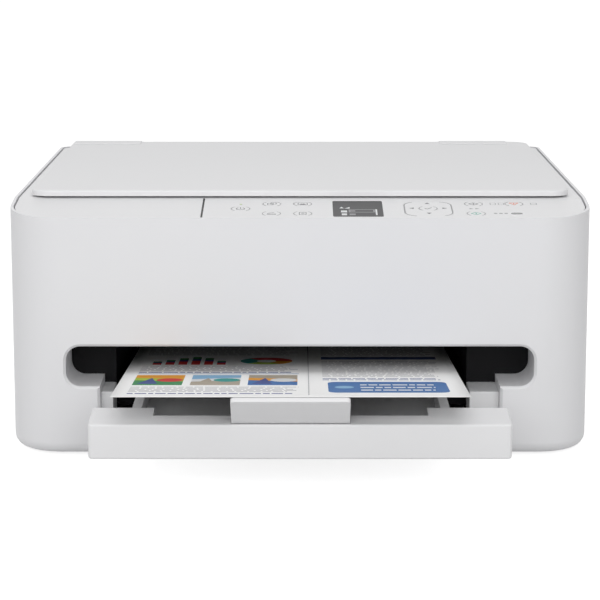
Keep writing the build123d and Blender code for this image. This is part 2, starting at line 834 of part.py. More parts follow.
with BuildPart() as scan_bar:
    block(scan_bar_x - scan_bar_w / 2, scan_bar_x + scan_bar_w / 2, glass_mid - glass_view_d / 2,
          glass_mid + glass_view_d / 2, scan_bar_z, scan_bar_z + scan_bar_h)
    block(scan_bar_x - scan_slot_w / 2, scan_bar_x + scan_slot_w / 2,
          glass_mid - glass_view_d / 2 + scan_slot_in, glass_mid + glass_view_d / 2 - scan_slot_in,
          scan_bar_z + scan_bar_h - scan_slot_d, scan_bar_z + scan_bar_h + 1, mode=Mode.SUBTRACT)
    rod(scan_bar_x - scan_bar_w, scan_bar_x + scan_bar_w, glass_mid, scan_rail_z,
        scan_rail_r + running_gap, mode=Mode.SUBTRACT)
finish(scan_bar.part, "scan_bar")

# Control panel: a plate over the right of the sloping front
buttons = {
    "power_button": (power_x, power_y, power_key_r),
    "copy_button": (left_keys_x, back_keys_y, key_r),
    "scan_button": (left_keys_x, front_keys_y, key_r),
    "quality_button": (mid_keys_x, back_keys_y, key_r),
    "size_button": (mid_keys_x, front_keys_y, key_r),
    "ok_button": (pad_x, ok_y, key_r),
    "start_grey_button": (start_x, back_keys_y, key_r),
    "start_colour_button": (start_x, front_keys_y, key_r),
    "cancel_button": (stop_key_x, back_keys_y, key_r),
}
with BuildPart() as control_panel:
    with BuildSketch(Plane.XY.offset(scan_low)) as panel_area:
        add(plan_outline(0, deck_inset))
        with Locations(((panel_left + body_w / 2) / 2, (front + panel_back) / 2)):
            Rectangle(body_w / 2 - panel_left, panel_back - front, mode=Mode.INTERSECT)
    extrude(amount=scanner_h + 5)
    extrude(rim_layer(deck_below_rim, deck_below_rim + panel_t / cos(slope)), amount=2 * body_w,
            mode=Mode.INTERSECT)
    with BuildSketch(panel_plane.offset(-panel_t - 2)):
        for name, (key_x, key_y, radius) in buttons.items():
            if name != "ok_button":
                with Locations((key_x, key_y)):
                    Circle(radius + key_gap)
        with Locations((screen_x, screen_y)):
            RectangleRounded(screen_w + 2 * screen_gap, screen_d + 2 * screen_gap, screen_r)
        with Locations((pad_x, pad_y)):
            RectangleRounded(pad_w + 2 * key_gap, pad_d + 2 * key_gap, pad_r)
        with Locations((lamp_x, front_keys_y)):
            RectangleRounded(lamp_w, lamp_d, lamp_d / 2 - lamp_end)
        with Locations((power_x, led_y)):
            Circle(led_r)
    extrude(amount=panel_t + 5, mode=Mode.SUBTRACT)
finish(control_panel.part, "control_panel")

with BuildPart() as status_bar:
    with BuildSketch(Plane.XY.offset(scan_low)):
        with Locations((panel_left - bar_w / 2, (front + deck_inset + panel_back) / 2)):
            Rectangle(bar_w - bar_gap, panel_back - front - deck_inset)
    extrude(amount=scanner_h + 5)
    extrude(rim_layer(deck_below_rim + bar_low, deck_below_rim + panel_t / cos(slope)), amount=2 * body_w,
            mode=Mode.INTERSECT)
finish(status_bar.part, "status_bar")

with BuildPart() as display_window:
    with BuildSketch(panel_plane.offset(-panel_t)):
        with Locations((screen_x, screen_y)):
            RectangleRounded(screen_w, screen_d, screen_r)
    extrude(amount=panel_t)
finish(display_window.part, "display_window")

with BuildPart() as display_module:
    with BuildSketch(panel_plane.offset(-board_depth)):
        with Locations((screen_x, screen_y)):
            Rectangle(screen_w - 2 * module_in, screen_d - 2 * module_in)
    extrude(amount=board_depth - panel_t)
finish(display_module.part, "display_module")

with BuildPart() as indicator_lamps:
    with BuildSketch(panel_plane.offset(-board_depth)):
        with Locations((lamp_x, front_keys_y)):
            RectangleRounded(lamp_w, lamp_d, lamp_d / 2 - lamp_end)
        with Locations((power_x, led_y)):
            Circle(led_r)
    extrude(amount=board_depth)
finish(indicator_lamps.part, "indicator_lamps")

with BuildPart() as panel_board:
    with BuildSketch(panel_plane.offset(-board_depth - board_t)):
        with Locations(((power_x + stop_key_x) / 2, board_y)):
            Rectangle(stop_key_x - power_x + 2 * board_over, board_d)
    extrude(amount=board_t)
finish(panel_board.part, "panel_board")

# Round keys, each flush with the panel and held below it by a flange
for name, (key_x, key_y, radius) in buttons.items():
    with BuildPart() as key:
        with BuildSketch(panel_plane.offset(-key_t)):
            with Locations((key_x, key_y)):
                Circle(radius)
        extrude(amount=key_t)
        if name != "ok_button":
            with BuildSketch(panel_plane.offset(-key_t)):
                with Locations((key_x, key_y)):
                    Circle(radius + key_flange)
            extrude(amount=key_flange_t)
    finish(key.part, name)

with BuildPart() as direction_pad:
    with BuildSketch(panel_plane.offset(-key_t)):
        with Locations((pad_x, pad_y)):
            RectangleRounded(pad_w, pad_d, pad_r)
        with Locations((pad_x, ok_y)):
            Circle(key_r + key_gap, mode=Mode.SUBTRACT)
    extrude(amount=key_t)
finish(direction_pad.part, "direction_pad")

# Lid
with BuildPart() as lid_shell:
    with BuildSketch(Plane.XY.offset(lid_low)) as lid_plan:
        with Locations((0, lid_back - lid_d / 2)):
            Rectangle(lid_w, lid_d)
        fillet(lid_plan.vertices().group_by(Axis.Y)[0], lid_corner_r)
        fillet(lid_plan.vertices().sort_by(Axis.Y)[-2:].sort_by(Axis.X)[-1], lid_back_r)
        chamfer(lid_plan.vertices().sort_by(Axis.X)[:2].sort_by(Axis.Y)[-1], lid_chamfer)
    extrude(amount=lid_t)
    fillet(lid_shell.faces().sort_by(Axis.Z)[-1].edges(), lid_top_r)
    block(-lid_w / 2 + lid_rim, lid_w / 2 - lid_rim, lid_back - lid_d + lid_rim,
          lid_back - lid_hollow_back,
          lid_low - 1, lid_low + lid_hollow, mode=Mode.SUBTRACT)
    for lug_x in (left_cover_x, right_cover_x):
        block(lug_x - lug_w / 2 - lug_side_gap, lug_x + lug_w / 2 + lug_side_gap,
              lid_axis_y - lug_r - lug_front_gap, lid_back + 1, lid_low - 1, lid_low + lid_t + 1,
              mode=Mode.SUBTRACT)
        bore_half = lug_w / 2 + lid_pin_len + lid_pin_gap
        rod(lug_x - bore_half, lug_x + bore_half, lid_axis_y, lid_axis_z, lid_pin_r + running_gap,
            mode=Mode.SUBTRACT)
finish(lid_shell.part, "lid_shell")

with BuildPart() as hinge_covers:
    for lug_x in (left_cover_x, right_cover_x):
        block(lug_x - cover_w / 2, lug_x + cover_w / 2, lid_back - cover_d, lid_back,
              lid_low + lid_t, lid_low + lid_t + cover_t)
finish(hinge_covers.part, "hinge_covers")

with BuildPart() as document_pad:
    block(-glass_view_w / 2 - pad_over, glass_view_w / 2 + pad_over,
          glass_mid - glass_view_d / 2 - pad_over, glass_mid + glass_view_d / 2 + pad_over,
          deck_z + pad_drop, lid_low + lid_hollow)
finish(document_pad.part, "document_pad")

# Chassis: two side plates and a cross beam
with BuildPart() as chassis:
    for plate_x in (left_plate_x, right_plate_x):
        block(plate_x, plate_x + plate_t, front + channel_back, front + plate_back, plate_top,
              base_z + plate_h)
    block(left_plate_x, right_plate_x + plate_t, front + beam_y, front + beam_y + plate_t, plate_top,
          plate_top + beam_h)
    rod(-body_w / 2, body_w / 2, front + rail_y, base_z + rail_z, rail_r, mode=Mode.SUBTRACT)
    rod(-body_w / 2, body_w / 2, front + feed_y, base_z + feed_z, roller_shaft_r + running_gap,
        mode=Mode.SUBTRACT)
    rod(-body_w / 2, body_w / 2, front + eject_y, base_z + eject_z, roller_shaft_r + running_gap,
        mode=Mode.SUBTRACT)
finish(chassis.part, "chassis")

with BuildPart() as carriage_rail:
    rod(left_plate_x - rail_over, right_plate_x + plate_t + rail_over, front + rail_y, base_z + rail_z,
        rail_r)
finish(carriage_rail.part, "carriage_rail")

# Platen under the print head, with ears for the pickup arm's shaft
with BuildPart() as platen:
    block(channel_left, channel_right, front + platen_front, front + platen_back,
          base_z + platen_z - platen_t, base_z + platen_z)
    with Locations((paper_x, front + (platen_front + platen_back) / 2, base_z + platen_z)):
        with GridLocations(rib_step, 1, 10, 1):
            Box(platen_rib_w, platen_depth - 2 * platen_rib_end, 2 * platen_rib_h)
    for ear_low_x in (paper_x - ear_x - ear_w, paper_x + ear_x):
        block(ear_low_x, ear_low_x + ear_w, front + arm_pivot_y - ear_half,
              front + arm_pivot_y + ear_half, base_z + arm_pivot_z - ear_half,
              base_z + platen_z - platen_t)
    rod(paper_x - ear_bore_half, paper_x + ear_bore_half, front + arm_pivot_y, base_z + arm_pivot_z,
        arm_shaft_r + ear_gap, mode=Mode.SUBTRACT)
finish(platen.part, "platen")

# Pickup arm on its shaft, and the rubber roller at its end
with BuildPart() as pickup_arm:
    for cheek_x in (paper_x - arm_w / 2, paper_x + arm_w / 2 - arm_cheek_t):
        with BuildSketch(Plane.YZ.offset(cheek_x)):
            with BuildLine():
                Polyline(
                    (front + arm_pivot_y + arm_small, base_z + arm_pivot_z + arm_big),
                    (front + arm_pivot_y + arm_big, base_z + arm_pivot_z - arm_small),
                    (front + arm_roller_y + arm_small, base_z + arm_roller_z - arm_big),
                    (front + arm_roller_y - arm_big, base_z + arm_roller_z),
                    (front + arm_roller_y - arm_tip, base_z + arm_roller_z + arm_big),
                    close=True,
                )
            make_face()
        extrude(amount=arm_cheek_t)
    rod(paper_x - arm_shaft_half, paper_x + arm_shaft_half, front + arm_pivot_y, base_z + arm_pivot_z,
        arm_shaft_r)
    rod(paper_x - arm_w / 2, paper_x + arm_w / 2, front + arm_roller_y, base_z + arm_roller_z,
        arm_roller_pin_r)
finish(pickup_arm.part, "pickup_arm")

with BuildPart() as pickup_roller:
    roller_half = arm_w / 2 - arm_cheek_t - arm_roller_gap
    rod(paper_x - roller_half, paper_x + roller_half, front + arm_roller_y, base_z + arm_roller_z,
        arm_roller_r)
    rod(paper_x - arm_w / 2, paper_x + arm_w / 2, front + arm_roller_y, base_z + arm_roller_z,
        arm_roller_pin_r + running_gap, mode=Mode.SUBTRACT)
finish(pickup_roller.part, "pickup_roller")

# Feed and eject rollers: a shaft with rubber sleeves and a belt pulley at the left end
pulley_face = left_plate_x - wheel_from_plate
for name, roller_y, roller_z, radius, sleeve in (
    ("feed_roller", feed_y, feed_z, feed_r, feed_sleeve),
    ("eject_roller", eject_y, eject_z, eject_r, eject_sleeve),
):
    with BuildPart() as roller:
        rod(pulley_face - wheel_over, right_plate_x + plate_t + shaft_over, front + roller_y,
            base_z + roller_z, roller_shaft_r)
        with Locations((paper_x, front + roller_y, base_z + roller_z)):
            with GridLocations(sleeve_step, 1, 5, 1):
                Cylinder(radius, sleeve, rotation=(0, 90, 0))
        rod(pulley_face, pulley_face + wheel_w, front + roller_y, base_z + roller_z, radius)
    finish(roller.part, name)

with BuildPart() as roller_belt:
    eject_loop_r = eject_r + loop_gap + loop_t
    feed_loop_r = feed_r + loop_gap + loop_t
    with BuildSketch(Plane.YZ.offset(pulley_face + (wheel_w - loop_w) / 2)):
        with BuildLine():
            top_run = Line((front + eject_y, base_z + eject_z + eject_loop_r),
                           (front + feed_y, base_z + feed_z + feed_loop_r))
            bottom_run = Line((front + feed_y, base_z + feed_z - feed_loop_r),
                              (front + eject_y, base_z + eject_z - eject_loop_r))
            ThreePointArc(top_run @ 1, (front + feed_y + feed_loop_r, base_z + feed_z), bottom_run @ 0)
            ThreePointArc(bottom_run @ 1, (front + eject_y - eject_loop_r, base_z + eject_z),
                          top_run @ 0)
        make_face()
        offset(amount=-loop_t, mode=Mode.SUBTRACT)
    extrude(amount=loop_w)
finish(roller_belt.part, "roller_belt")

# Carriage with two cartridges
with BuildPart() as carriage:
    block(carriage_x - carriage_w / 2, carriage_x + carriage_w / 2, front + carriage_front,
          front + carriage_back, base_z + carriage_low, base_z + carriage_low + carriage_h)
    for side in (-1, 1):
        pocket_x = carriage_x + side * (cartridge_w / 2 + cartridge_mid)
        block(pocket_x - cartridge_w / 2 - cartridge_gap, pocket_x + cartridge_w / 2 + cartridge_gap,
              front + carriage_front + carriage_floor,
              front + carriage_front + carriage_floor + cartridge_d + 2 * cartridge_gap,
              base_z + carriage_low + carriage_floor, base_z + carriage_low + carriage_h + 1,
              mode=Mode.SUBTRACT)
    block(carriage_x - boss_half, carriage_x + boss_half, front + carriage_back - 1,
          front + rail_y + rail_r + boss_wall, base_z + rail_z - rail_r - boss_wall,
          base_z + rail_z + rail_r + boss_wall)
    block(carriage_x - clip_half, carriage_x + clip_half, front + carriage_back - 1,
          front + belt_y - pulley_r - belt_t - clip_gap, base_z + rail_z + rail_r + 3,
          base_z + belt_low + belt_w)
    rod(carriage_x - boss_bore_half, carriage_x + boss_bore_half, front + rail_y, base_z + rail_z,
        rail_r + running_gap, mode=Mode.SUBTRACT)
finish(carriage.part, "carriage")

for name, side in (("black_cartridge", -1), ("colour_cartridge", 1)):
    pocket_x = carriage_x + side * (cartridge_w / 2 + cartridge_mid)
    with BuildPart() as cartridge:
        block(pocket_x - cartridge_w / 2, pocket_x + cartridge_w / 2,
              front + carriage_front + carriage_floor + cartridge_gap,
              front + carriage_front + carriage_floor + cartridge_gap + cartridge_d,
              base_z + carriage_low + carriage_floor,
              base_z + carriage_low + carriage_floor + cartridge_h)
        fillet(cartridge.edges().filter_by(Axis.X).group_by(Axis.Z)[-1], cartridge_top_r)
        block(pocket_x - tab_half, pocket_x + tab_half, front + carriage_front + tab_in,
              front + carriage_front + tab_in + tab_d, base_z + carriage_low + cartridge_h,
              base_z + carriage_low + cartridge_h + tab_h)
    finish(cartridge.part, name)

# Belt drive of the carriage
with BuildPart() as carriage_belt:
    with BuildSketch(Plane.XY.offset(base_z + belt_low)):
        with Locations(((left_pulley_x + right_pulley_x) / 2, front + belt_y)):
            SlotCenterToCenter(right_pulley_x - left_pulley_x, 2 * (pulley_r + belt_t))
            SlotCenterToCenter(right_pulley_x - left_pulley_x, 2 * (pulley_r + belt_gap),
                               mode=Mode.SUBTRACT)
    extrude(amount=belt_w)
finish(carriage_belt.part, "carriage_belt")

with BuildPart() as carriage_motor:
    motor_front = front + belt_y - motor_set - motor_r
    motor_low = base_z + belt_low + belt_w + motor_up
    with Locations((left_pulley_x, front + belt_y - motor_set, motor_low)):
        Cylinder(motor_r, scan_low - base_plate_t - motor_top_gap - motor_low,
                 align=(Align.CENTER, Align.CENTER, Align.MIN))
    block(left_pulley_x - motor_r, left_pulley_x + motor_plate_x, motor_front,
          motor_front + motor_plate_t, base_z + plate_h, base_z + belt_low + belt_w + motor_plate_up)
    with Locations((left_pulley_x, front + belt_y, base_z + belt_low - motor_pin_down)):
        Cylinder(pulley_pin_r, belt_w + motor_pin_up, align=(Align.CENTER, Align.CENTER, Align.MIN))
finish(carriage_motor.part, "carriage_motor")

with BuildPart() as drive_pulley:
    with Locations((left_pulley_x, front + belt_y, base_z + belt_low)):
        Cylinder(pulley_r, belt_w, align=(Align.CENTER, Align.CENTER, Align.MIN))
        Cylinder(pulley_pin_r + pulley_gap, belt_w, align=(Align.CENTER, Align.CENTER, Align.MIN),
                 mode=Mode.SUBTRACT)
finish(drive_pulley.part, "drive_pulley")

# Idler post on a bracket from the right side plate
with BuildPart() as belt_bracket:
    block(right_pulley_x - bracket_in, right_plate_x, front + belt_y - bracket_front,
          front + plate_back, base_z + belt_low - bracket_down,
          base_z + belt_low - bracket_down + bracket_t)
    with Locations((right_pulley_x, front + belt_y, base_z + belt_low - bracket_pin_down)):
        Cylinder(pulley_pin_r, belt_w + bracket_down, align=(Align.CENTER, Align.CENTER, Align.MIN))
finish(belt_bracket.part, "belt_bracket")

with BuildPart() as idler_pulley:
    with Locations((right_pulley_x, front + belt_y, base_z + belt_low)):
        Cylinder(pulley_r, belt_w, align=(Align.CENTER, Align.CENTER, Align.MIN))
        Cylinder(pulley_pin_r + pulley_gap, belt_w, align=(Align.CENTER, Align.CENTER, Align.MIN),
                 mode=Mode.SUBTRACT)
finish(idler_pulley.part, "idler_pulley")

# Service station where the carriage parks
with BuildPart() as service_station:
    block(channel_right + frame_t + station_gap, right_plate_x - station_side, front + platen_front,
          front + platen_back, plate_top, base_z + carriage_low - station_under)
    for side in (-1, 1):
        cap_x = carriage_x + side * (cartridge_w / 2 + cartridge_mid)
        block(cap_x - cap_half, cap_x + cap_half, front + platen_front + cap_in,
              front + platen_front + cap_in + cap_d, base_z + carriage_low - station_under - cap_down,
              base_z + carriage_low - cap_gap)
finish(service_station.part, "service_station")

# Electronics
with BuildPart() as main_board:
    board_left = board_side - body_w / 2
    board_right = -opening_w / 2 - board_side
    board_back = back - board_from_back
    block(board_left, board_right, front + board_front, board_back, plate_top + board_lift,
          plate_top + board_lift + board_t)
    for pillar_y in (front + board_front + pillar_in, board_back - pillar_in):
        for pillar_x in (board_left + pillar_in, board_right - pillar_in):
            with Locations((pillar_x, pillar_y, plate_top)):
                Cylinder(pillar_r, board_lift, align=(Align.CENTER, Align.CENTER, Align.MIN))
    block(chip_in - body_w / 2, chip_in + chip_w - body_w / 2, front + chip_front,
          front + chip_front + chip_d, plate_top + board_lift, plate_top + board_lift + chip_h)
finish(main_board.part, "main_board")

with BuildPart() as power_supply:
    supply_right = body_w / 2 - wall - supply_side
    supply_back = back - supply_from_back
    block(supply_right - supply_w, supply_right, supply_back - supply_d, supply_back, plate_top,
          plate_top + supply_h)
finish(power_supply.part, "power_supply")

with BuildPart() as mains_inlet:
    block(inlet_x - inlet_w / 2, inlet_x + inlet_w / 2, back - socket_d, back - socket_set,
          base_z + inlet_z - inlet_h / 2, base_z + inlet_z + inlet_h / 2)
    with BuildSketch(Plane.XZ.offset(-(back + 1))):
        with Locations((inlet_x - inlet_pin, base_z + inlet_z), (inlet_x + inlet_pin, base_z + inlet_z)):
            Circle(inlet_hole_r)
    extrude(amount=inlet_depth + 1, mode=Mode.SUBTRACT)
    with Locations((inlet_x - inlet_pin, back - inlet_depth, base_z + inlet_z),
                   (inlet_x + inlet_pin, back - inlet_depth, base_z + inlet_z)):
        Cylinder(inlet_pin_r, inlet_pin_len, rotation=(90, 0, 0))
finish(mains_inlet.part, "mains_inlet")

with BuildPart() as usb_port:
    block(usb_x - usb_w / 2, usb_x + usb_w / 2, back - socket_d, back - socket_set,
          base_z + usb_z - usb_h / 2, base_z + usb_z + usb_h / 2)
    block(usb_x - usb_w / 2 + usb_wall, usb_x + usb_w / 2 - usb_wall, back - usb_depth, back + 1,
          base_z + usb_z - usb_h / 2 + usb_wall, base_z + usb_z + usb_h / 2 - usb_wall,
          mode=Mode.SUBTRACT)
    block(usb_x - usb_tongue_half, usb_x + usb_tongue_half, back - usb_depth - 0.5,
          back - usb_tongue_in, base_z + usb_z - usb_tongue_h, base_z + usb_z + usb_tongue_h)
finish(usb_port.part, "usb_port")

# Cover in the back that opens to clear a jam
with BuildPart() as rear_cover:
    block(paper_x - back_cover_w / 2 + back_gap, paper_x + back_cover_w / 2 - back_gap,
          back - wall, back, base_z + cover_low + back_gap + back_lift, base_z + cover_high - back_gap)
    block(paper_x - grip_half, paper_x + grip_half, back - wall / 2, back + 1,
          base_z + cover_high - grip_h, base_z + cover_high, mode=Mode.SUBTRACT)
    rod(paper_x - back_cover_w / 2 - back_pin_len, paper_x + back_cover_w / 2 + back_pin_len,
        back - wall / 2, base_z + cover_low + back_pin_up, back_pin_r)
finish(rear_cover.part, "rear_cover")

# Screws whose heads sink into the casing's back
with BuildPart() as casing_screws:
    with BuildSketch(screw_plane):
        with GridLocations(2 * screw_x, screw_rise, 2, 2):
            Circle(screw_r)
            RegularPolygon(screw_r * screw_socket, 6, mode=Mode.SUBTRACT)
    extrude(amount=-screw_head_t)
finish(casing_screws.part, "casing_screws")
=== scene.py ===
import json
import random
from math import atan, cos, pi, radians, sin

import bmesh
import bpy
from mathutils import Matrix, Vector


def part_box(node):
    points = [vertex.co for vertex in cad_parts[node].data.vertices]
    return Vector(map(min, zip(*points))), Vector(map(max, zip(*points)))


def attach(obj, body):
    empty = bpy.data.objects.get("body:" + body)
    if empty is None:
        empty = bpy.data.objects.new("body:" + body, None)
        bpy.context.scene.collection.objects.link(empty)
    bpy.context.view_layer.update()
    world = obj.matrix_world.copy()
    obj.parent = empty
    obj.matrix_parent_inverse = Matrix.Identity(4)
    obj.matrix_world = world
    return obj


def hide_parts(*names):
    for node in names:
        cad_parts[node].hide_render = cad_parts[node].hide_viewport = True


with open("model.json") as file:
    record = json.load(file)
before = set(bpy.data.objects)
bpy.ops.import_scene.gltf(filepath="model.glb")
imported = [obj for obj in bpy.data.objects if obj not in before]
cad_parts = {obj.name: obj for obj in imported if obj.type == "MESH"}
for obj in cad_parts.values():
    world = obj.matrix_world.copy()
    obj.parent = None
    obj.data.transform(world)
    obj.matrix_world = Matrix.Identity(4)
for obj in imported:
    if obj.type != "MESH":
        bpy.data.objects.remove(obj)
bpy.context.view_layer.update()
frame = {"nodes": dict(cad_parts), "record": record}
record = frame["record"]
bodyOfNode = {node: body for body, nodes in record["behaviour"]["bodies"].items() for node in nodes}
mm = 0.001

casingLow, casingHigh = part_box("outer_casing")
casing = {
    "frontY": casingLow[1],
    "backY": casingHigh[1],
    "rimZ": casingHigh[2],
    "rimDrop": 6.3 * mm,
    "slopeRun": 56 * mm,
    "deckBelowRim": 0.8 * mm,
}
panelSlope = atan(casing["rimDrop"] / casing["slopeRun"])
panelFrontZ = casing["rimZ"] - casing["rimDrop"] - casing["deckBelowRim"]
print("frame read")


# camera and stage

view = {
    "lens": 134.4,
    "distance": 1420.4 * mm,
    "height": 363.8 * mm,
    "tilt": 79.65,
    "sensorWidth": 36,
    "farLimit": 100,
}
cameraData = bpy.data.cameras.new("photoCamera")
cameraData.lens = view["lens"]
cameraData.sensor_width = view["sensorWidth"]
cameraData.clip_end = view["farLimit"]
camera = bpy.data.objects.new("photoCamera", cameraData)
camera.location = (0, casing["frontY"] - view["distance"], view["height"])
camera.rotation_euler = (radians(view["tilt"]), 0, 0)
bpy.context.scene.collection.objects.link(camera)
bpy.context.scene.camera = camera
bpy.context.scene.view_settings.view_transform = "Standard"


def addNode(tree, kind, **settings):
    node = tree.nodes.new(kind)
    for setting, value in settings.items():
        if hasattr(node, setting):
            setattr(node, setting, value)
        else:
            node.inputs[setting].default_value = value
    return node


def groupSocket(group, name, inOut, kind, value=None):
    socket = group.interface.new_socket(name=name, in_out=inOut, socket_type=kind)
    if value is not None:
        socket.default_value = value


# A Math node whose two inputs are sockets or plain numbers
def mathNode(tree, operation, first, second):
    node = addNode(tree, "ShaderNodeMath", operation=operation)
    for i, value in enumerate((first, second)):
        if isinstance(value, (int, float)):
            node.inputs[i].default_value = value
        else:
            tree.links.new(value, node.inputs[i])
    return node.outputs[0]


# Fine moulding grain with broad, faint blotches, shared by every moulded part
def makeGrainGroup():
    group = bpy.data.node_groups.new("mouldGrain", "ShaderNodeTree")
    groupSocket(group, "Colour", "INPUT", "NodeSocketColor", (0.8, 0.8, 0.8, 1))
    for name, value in (("Grain Scale", 2500), ("Blotch Scale", 14), ("Blotch", 0.02),
                        ("Roughness", 0.4), ("Spread", 0.06)):
        groupSocket(group, name, "INPUT", "NodeSocketFloat", value)
    groupSocket(group, "Colour", "OUTPUT", "NodeSocketColor")
    groupSocket(group, "Roughness", "OUTPUT", "NodeSocketFloat")
    groupSocket(group, "Height", "OUTPUT", "NodeSocketFloat")
    start = group.nodes.new("NodeGroupInput")
    end = group.nodes.new("NodeGroupOutput")
    place = group.nodes.new("ShaderNodeTexCoord")
    link = group.links.new

    blotch = addNode(group, "ShaderNodeTexNoise", Detail=3.0)
    link(place.outputs["Object"], blotch.inputs["Vector"])
    link(start.outputs["Blotch Scale"], blotch.inputs["Scale"])
    centred = mathNode(group, "SUBTRACT", blotch.outputs["Fac"], 0.5)
    weighed = mathNode(group, "MULTIPLY", centred, start.outputs["Blotch"])
    gain = mathNode(group, "ADD", weighed, 1)
    tint = addNode(group, "ShaderNodeVectorMath", operation="SCALE")
    link(start.outputs["Colour"], tint.inputs[0])
    link(gain, tint.inputs["Scale"])
    link(tint.outputs[0], end.inputs["Colour"])

    grain = addNode(group, "ShaderNodeTexVoronoi")
    link(place.outputs["Object"], grain.inputs["Vector"])
    link(start.outputs["Grain Scale"], grain.inputs["Scale"])
    link(grain.outputs["Distance"], end.inputs["Height"])

    ripple = mathNode(group, "MULTIPLY", centred, start.outputs["Spread"])
    rough = mathNode(group, "ADD", ripple, start.outputs["Roughness"])
    link(rough, end.inputs["Roughness"])
    return group


grainGroup = makeGrainGroup()


def moulded(name, colour, rough=0.42, grain=2500, depth=0.00002, blotch=0.02, blotchScale=14,
            metallic=0.0, specular=0.5, strength=0.25, coat=0.0, coatRough=0.12):
    material = bpy.data.materials.new(name)
    material.use_nodes = True
    tree = material.node_tree
    shader = tree.nodes["Principled BSDF"]
    shader.inputs["Metallic"].default_value = metallic
    shader.inputs["Specular IOR Level"].default_value = specular
    shader.inputs["Coat Weight"].default_value = coat
    shader.inputs["Coat Roughness"].default_value = coatRough
    finish = tree.nodes.new("ShaderNodeGroup")
    finish.node_tree = grainGroup
    finish.inputs["Colour"].default_value = (*colour, 1)
    finish.inputs["Grain Scale"].default_value = grain
    finish.inputs["Blotch Scale"].default_value = blotchScale
    finish.inputs["Blotch"].default_value = blotch
    finish.inputs["Roughness"].default_value = rough
    bump = addNode(tree, "ShaderNodeBump", Strength=strength, Distance=depth)
    tree.links.new(finish.outputs["Height"], bump.inputs["Height"])
    tree.links.new(finish.outputs["Colour"], shader.inputs["Base Color"])
    tree.links.new(finish.outputs["Roughness"], shader.inputs["Roughness"])
    tree.links.new(bump.outputs["Normal"], shader.inputs["Normal"])
    return material


paints = {
    "casingWhite": moulded("casingWhite", (0.80, 0.80, 0.815), rough=0.46),
    "lidWhite": moulded("lidWhite", (0.79, 0.79, 0.80), rough=0.5, grain=1800, strength=0.35),
    "panelWhite": moulded("panelWhite", (0.80, 0.80, 0.81), rough=0.40),
    "keyWhite": moulded("keyWhite", (0.80, 0.80, 0.81), rough=0.38),
    "trayWhite": moulded("trayWhite", (0.79, 0.79, 0.80), rough=0.46),
    "stopWhite": moulded("stopWhite", (0.80, 0.80, 0.81), rough=0.42),
    "blackPlastic": moulded("blackPlastic", (0.007, 0.007, 0.008), rough=0.62, blotch=0.3, specular=0.12),
    "greyPlastic": moulded("greyPlastic", (0.17, 0.175, 0.18), rough=0.5, blotch=0.08),
    "paleGrey": moulded("paleGrey", (0.5, 0.5, 0.51), rough=0.5, blotch=0.05),
    "darkWindow": moulded("darkWindow", (0.006, 0.006, 0.007), rough=0.35, grain=400, specular=0.15),
    "screenGlass": moulded("screenGlass", (0.075, 0.075, 0.078), rough=0.4, grain=300, depth=0.000004,
                           blotch=0.15, blotchScale=60, specular=0.12),
    "lampGrey": moulded("lampGrey", (0.13, 0.135, 0.14), rough=0.25, grain=600, coat=0.4),
    "footRubber": moulded("footRubber", (0.03, 0.03, 0.03), rough=0.8, blotch=0.2),
    "rollerRubber": moulded("rollerRubber", (0.05, 0.05, 0.053), rough=0.75, blotch=0.2),
    "beltRubber": moulded("beltRubber", (0.02, 0.02, 0.02), rough=0.7, blotch=0.2),
    "padFoam": moulded("padFoam", (0.82, 0.82, 0.82), rough=0.7, grain=900, depth=0.00006),
    "zincSteel": moulded("zincSteel", (0.56, 0.57, 0.58), rough=0.34, metallic=1.0, blotch=0.12,
                         blotchScale=60, grain=1500),
    "brass": moulded("brass", (0.62, 0.44, 0.17), rough=0.3, metallic=1.0, blotch=0.1),
    "boardGreen": moulded("boardGreen", (0.012, 0.10, 0.045), rough=0.35, grain=500, blotch=0.25,
                          blotchScale=90),
    "paper": moulded("paper", (0.90, 0.90, 0.895), rough=0.85, grain=1600, depth=0.00003, blotch=0.015,
                     specular=0.2),
    # Grey shared by the printed pictures beside the start keys and the painted shade in the grooves round the
    # keys and the pad
    "printAndGrooveShade": moulded("printAndGrooveShade", (0.36, 0.36, 0.37), rough=0.5, blotch=0.05),
    "inkGrey": moulded("inkGrey", (0.17, 0.17, 0.18), rough=0.55, blotch=0.1),
    "inkPale": moulded("inkPale", (0.42, 0.42, 0.44), rough=0.7, blotch=0.2, blotchScale=300),
    "inkBlue": moulded("inkBlue", (0.03, 0.13, 0.35), rough=0.6, blotch=0.12, blotchScale=90),
    "inkNavy": moulded("inkNavy", (0.035, 0.06, 0.22), rough=0.6, blotch=0.12, blotchScale=90),
    "inkRed": moulded("inkRed", (0.55, 0.02, 0.02), rough=0.6, blotch=0.12, blotchScale=90),
    "inkGreen": moulded("inkGreen", (0.02, 0.20, 0.06), rough=0.6, blotch=0.12, blotchScale=90),
    "inkTeal": moulded("inkTeal", (0.02, 0.27, 0.24), rough=0.6, blotch=0.12, blotchScale=90),
    "inkLime": moulded("inkLime", (0.35, 0.48, 0.04), rough=0.6, blotch=0.12, blotchScale=90),
    "inkAmber": moulded("inkAmber", (0.70, 0.30, 0.02), rough=0.6, blotch=0.2, blotchScale=120),
    "inkSky": moulded("inkSky", (0.22, 0.42, 0.62), rough=0.6, blotch=0.2, blotchScale=120),
    "inkSand": moulded("inkSand", (0.38, 0.33, 0.26), rough=0.6, blotch=0.4, blotchScale=200),
    "markGreen": moulded("markGreen", (0.10, 0.42, 0.33), rough=0.5, blotch=0.1),
    "markRed": moulded("markRed", (0.75, 0.16, 0.06), rough=0.5, blotch=0.1),
    "ledGreen": moulded("ledGreen", (0.45, 0.62, 0.20), rough=0.3, blotch=0.1),
    "glyphWhite": moulded("glyphWhite", (0.75, 0.76, 0.77), rough=0.4, blotch=0.05),
    "glyphGrey": moulded("glyphGrey", (0.25, 0.25, 0.26), rough=0.4, blotch=0.05),
    "socketDark": moulded("socketDark", (0.015, 0.015, 0.015), rough=0.45, blotch=0.2),
}


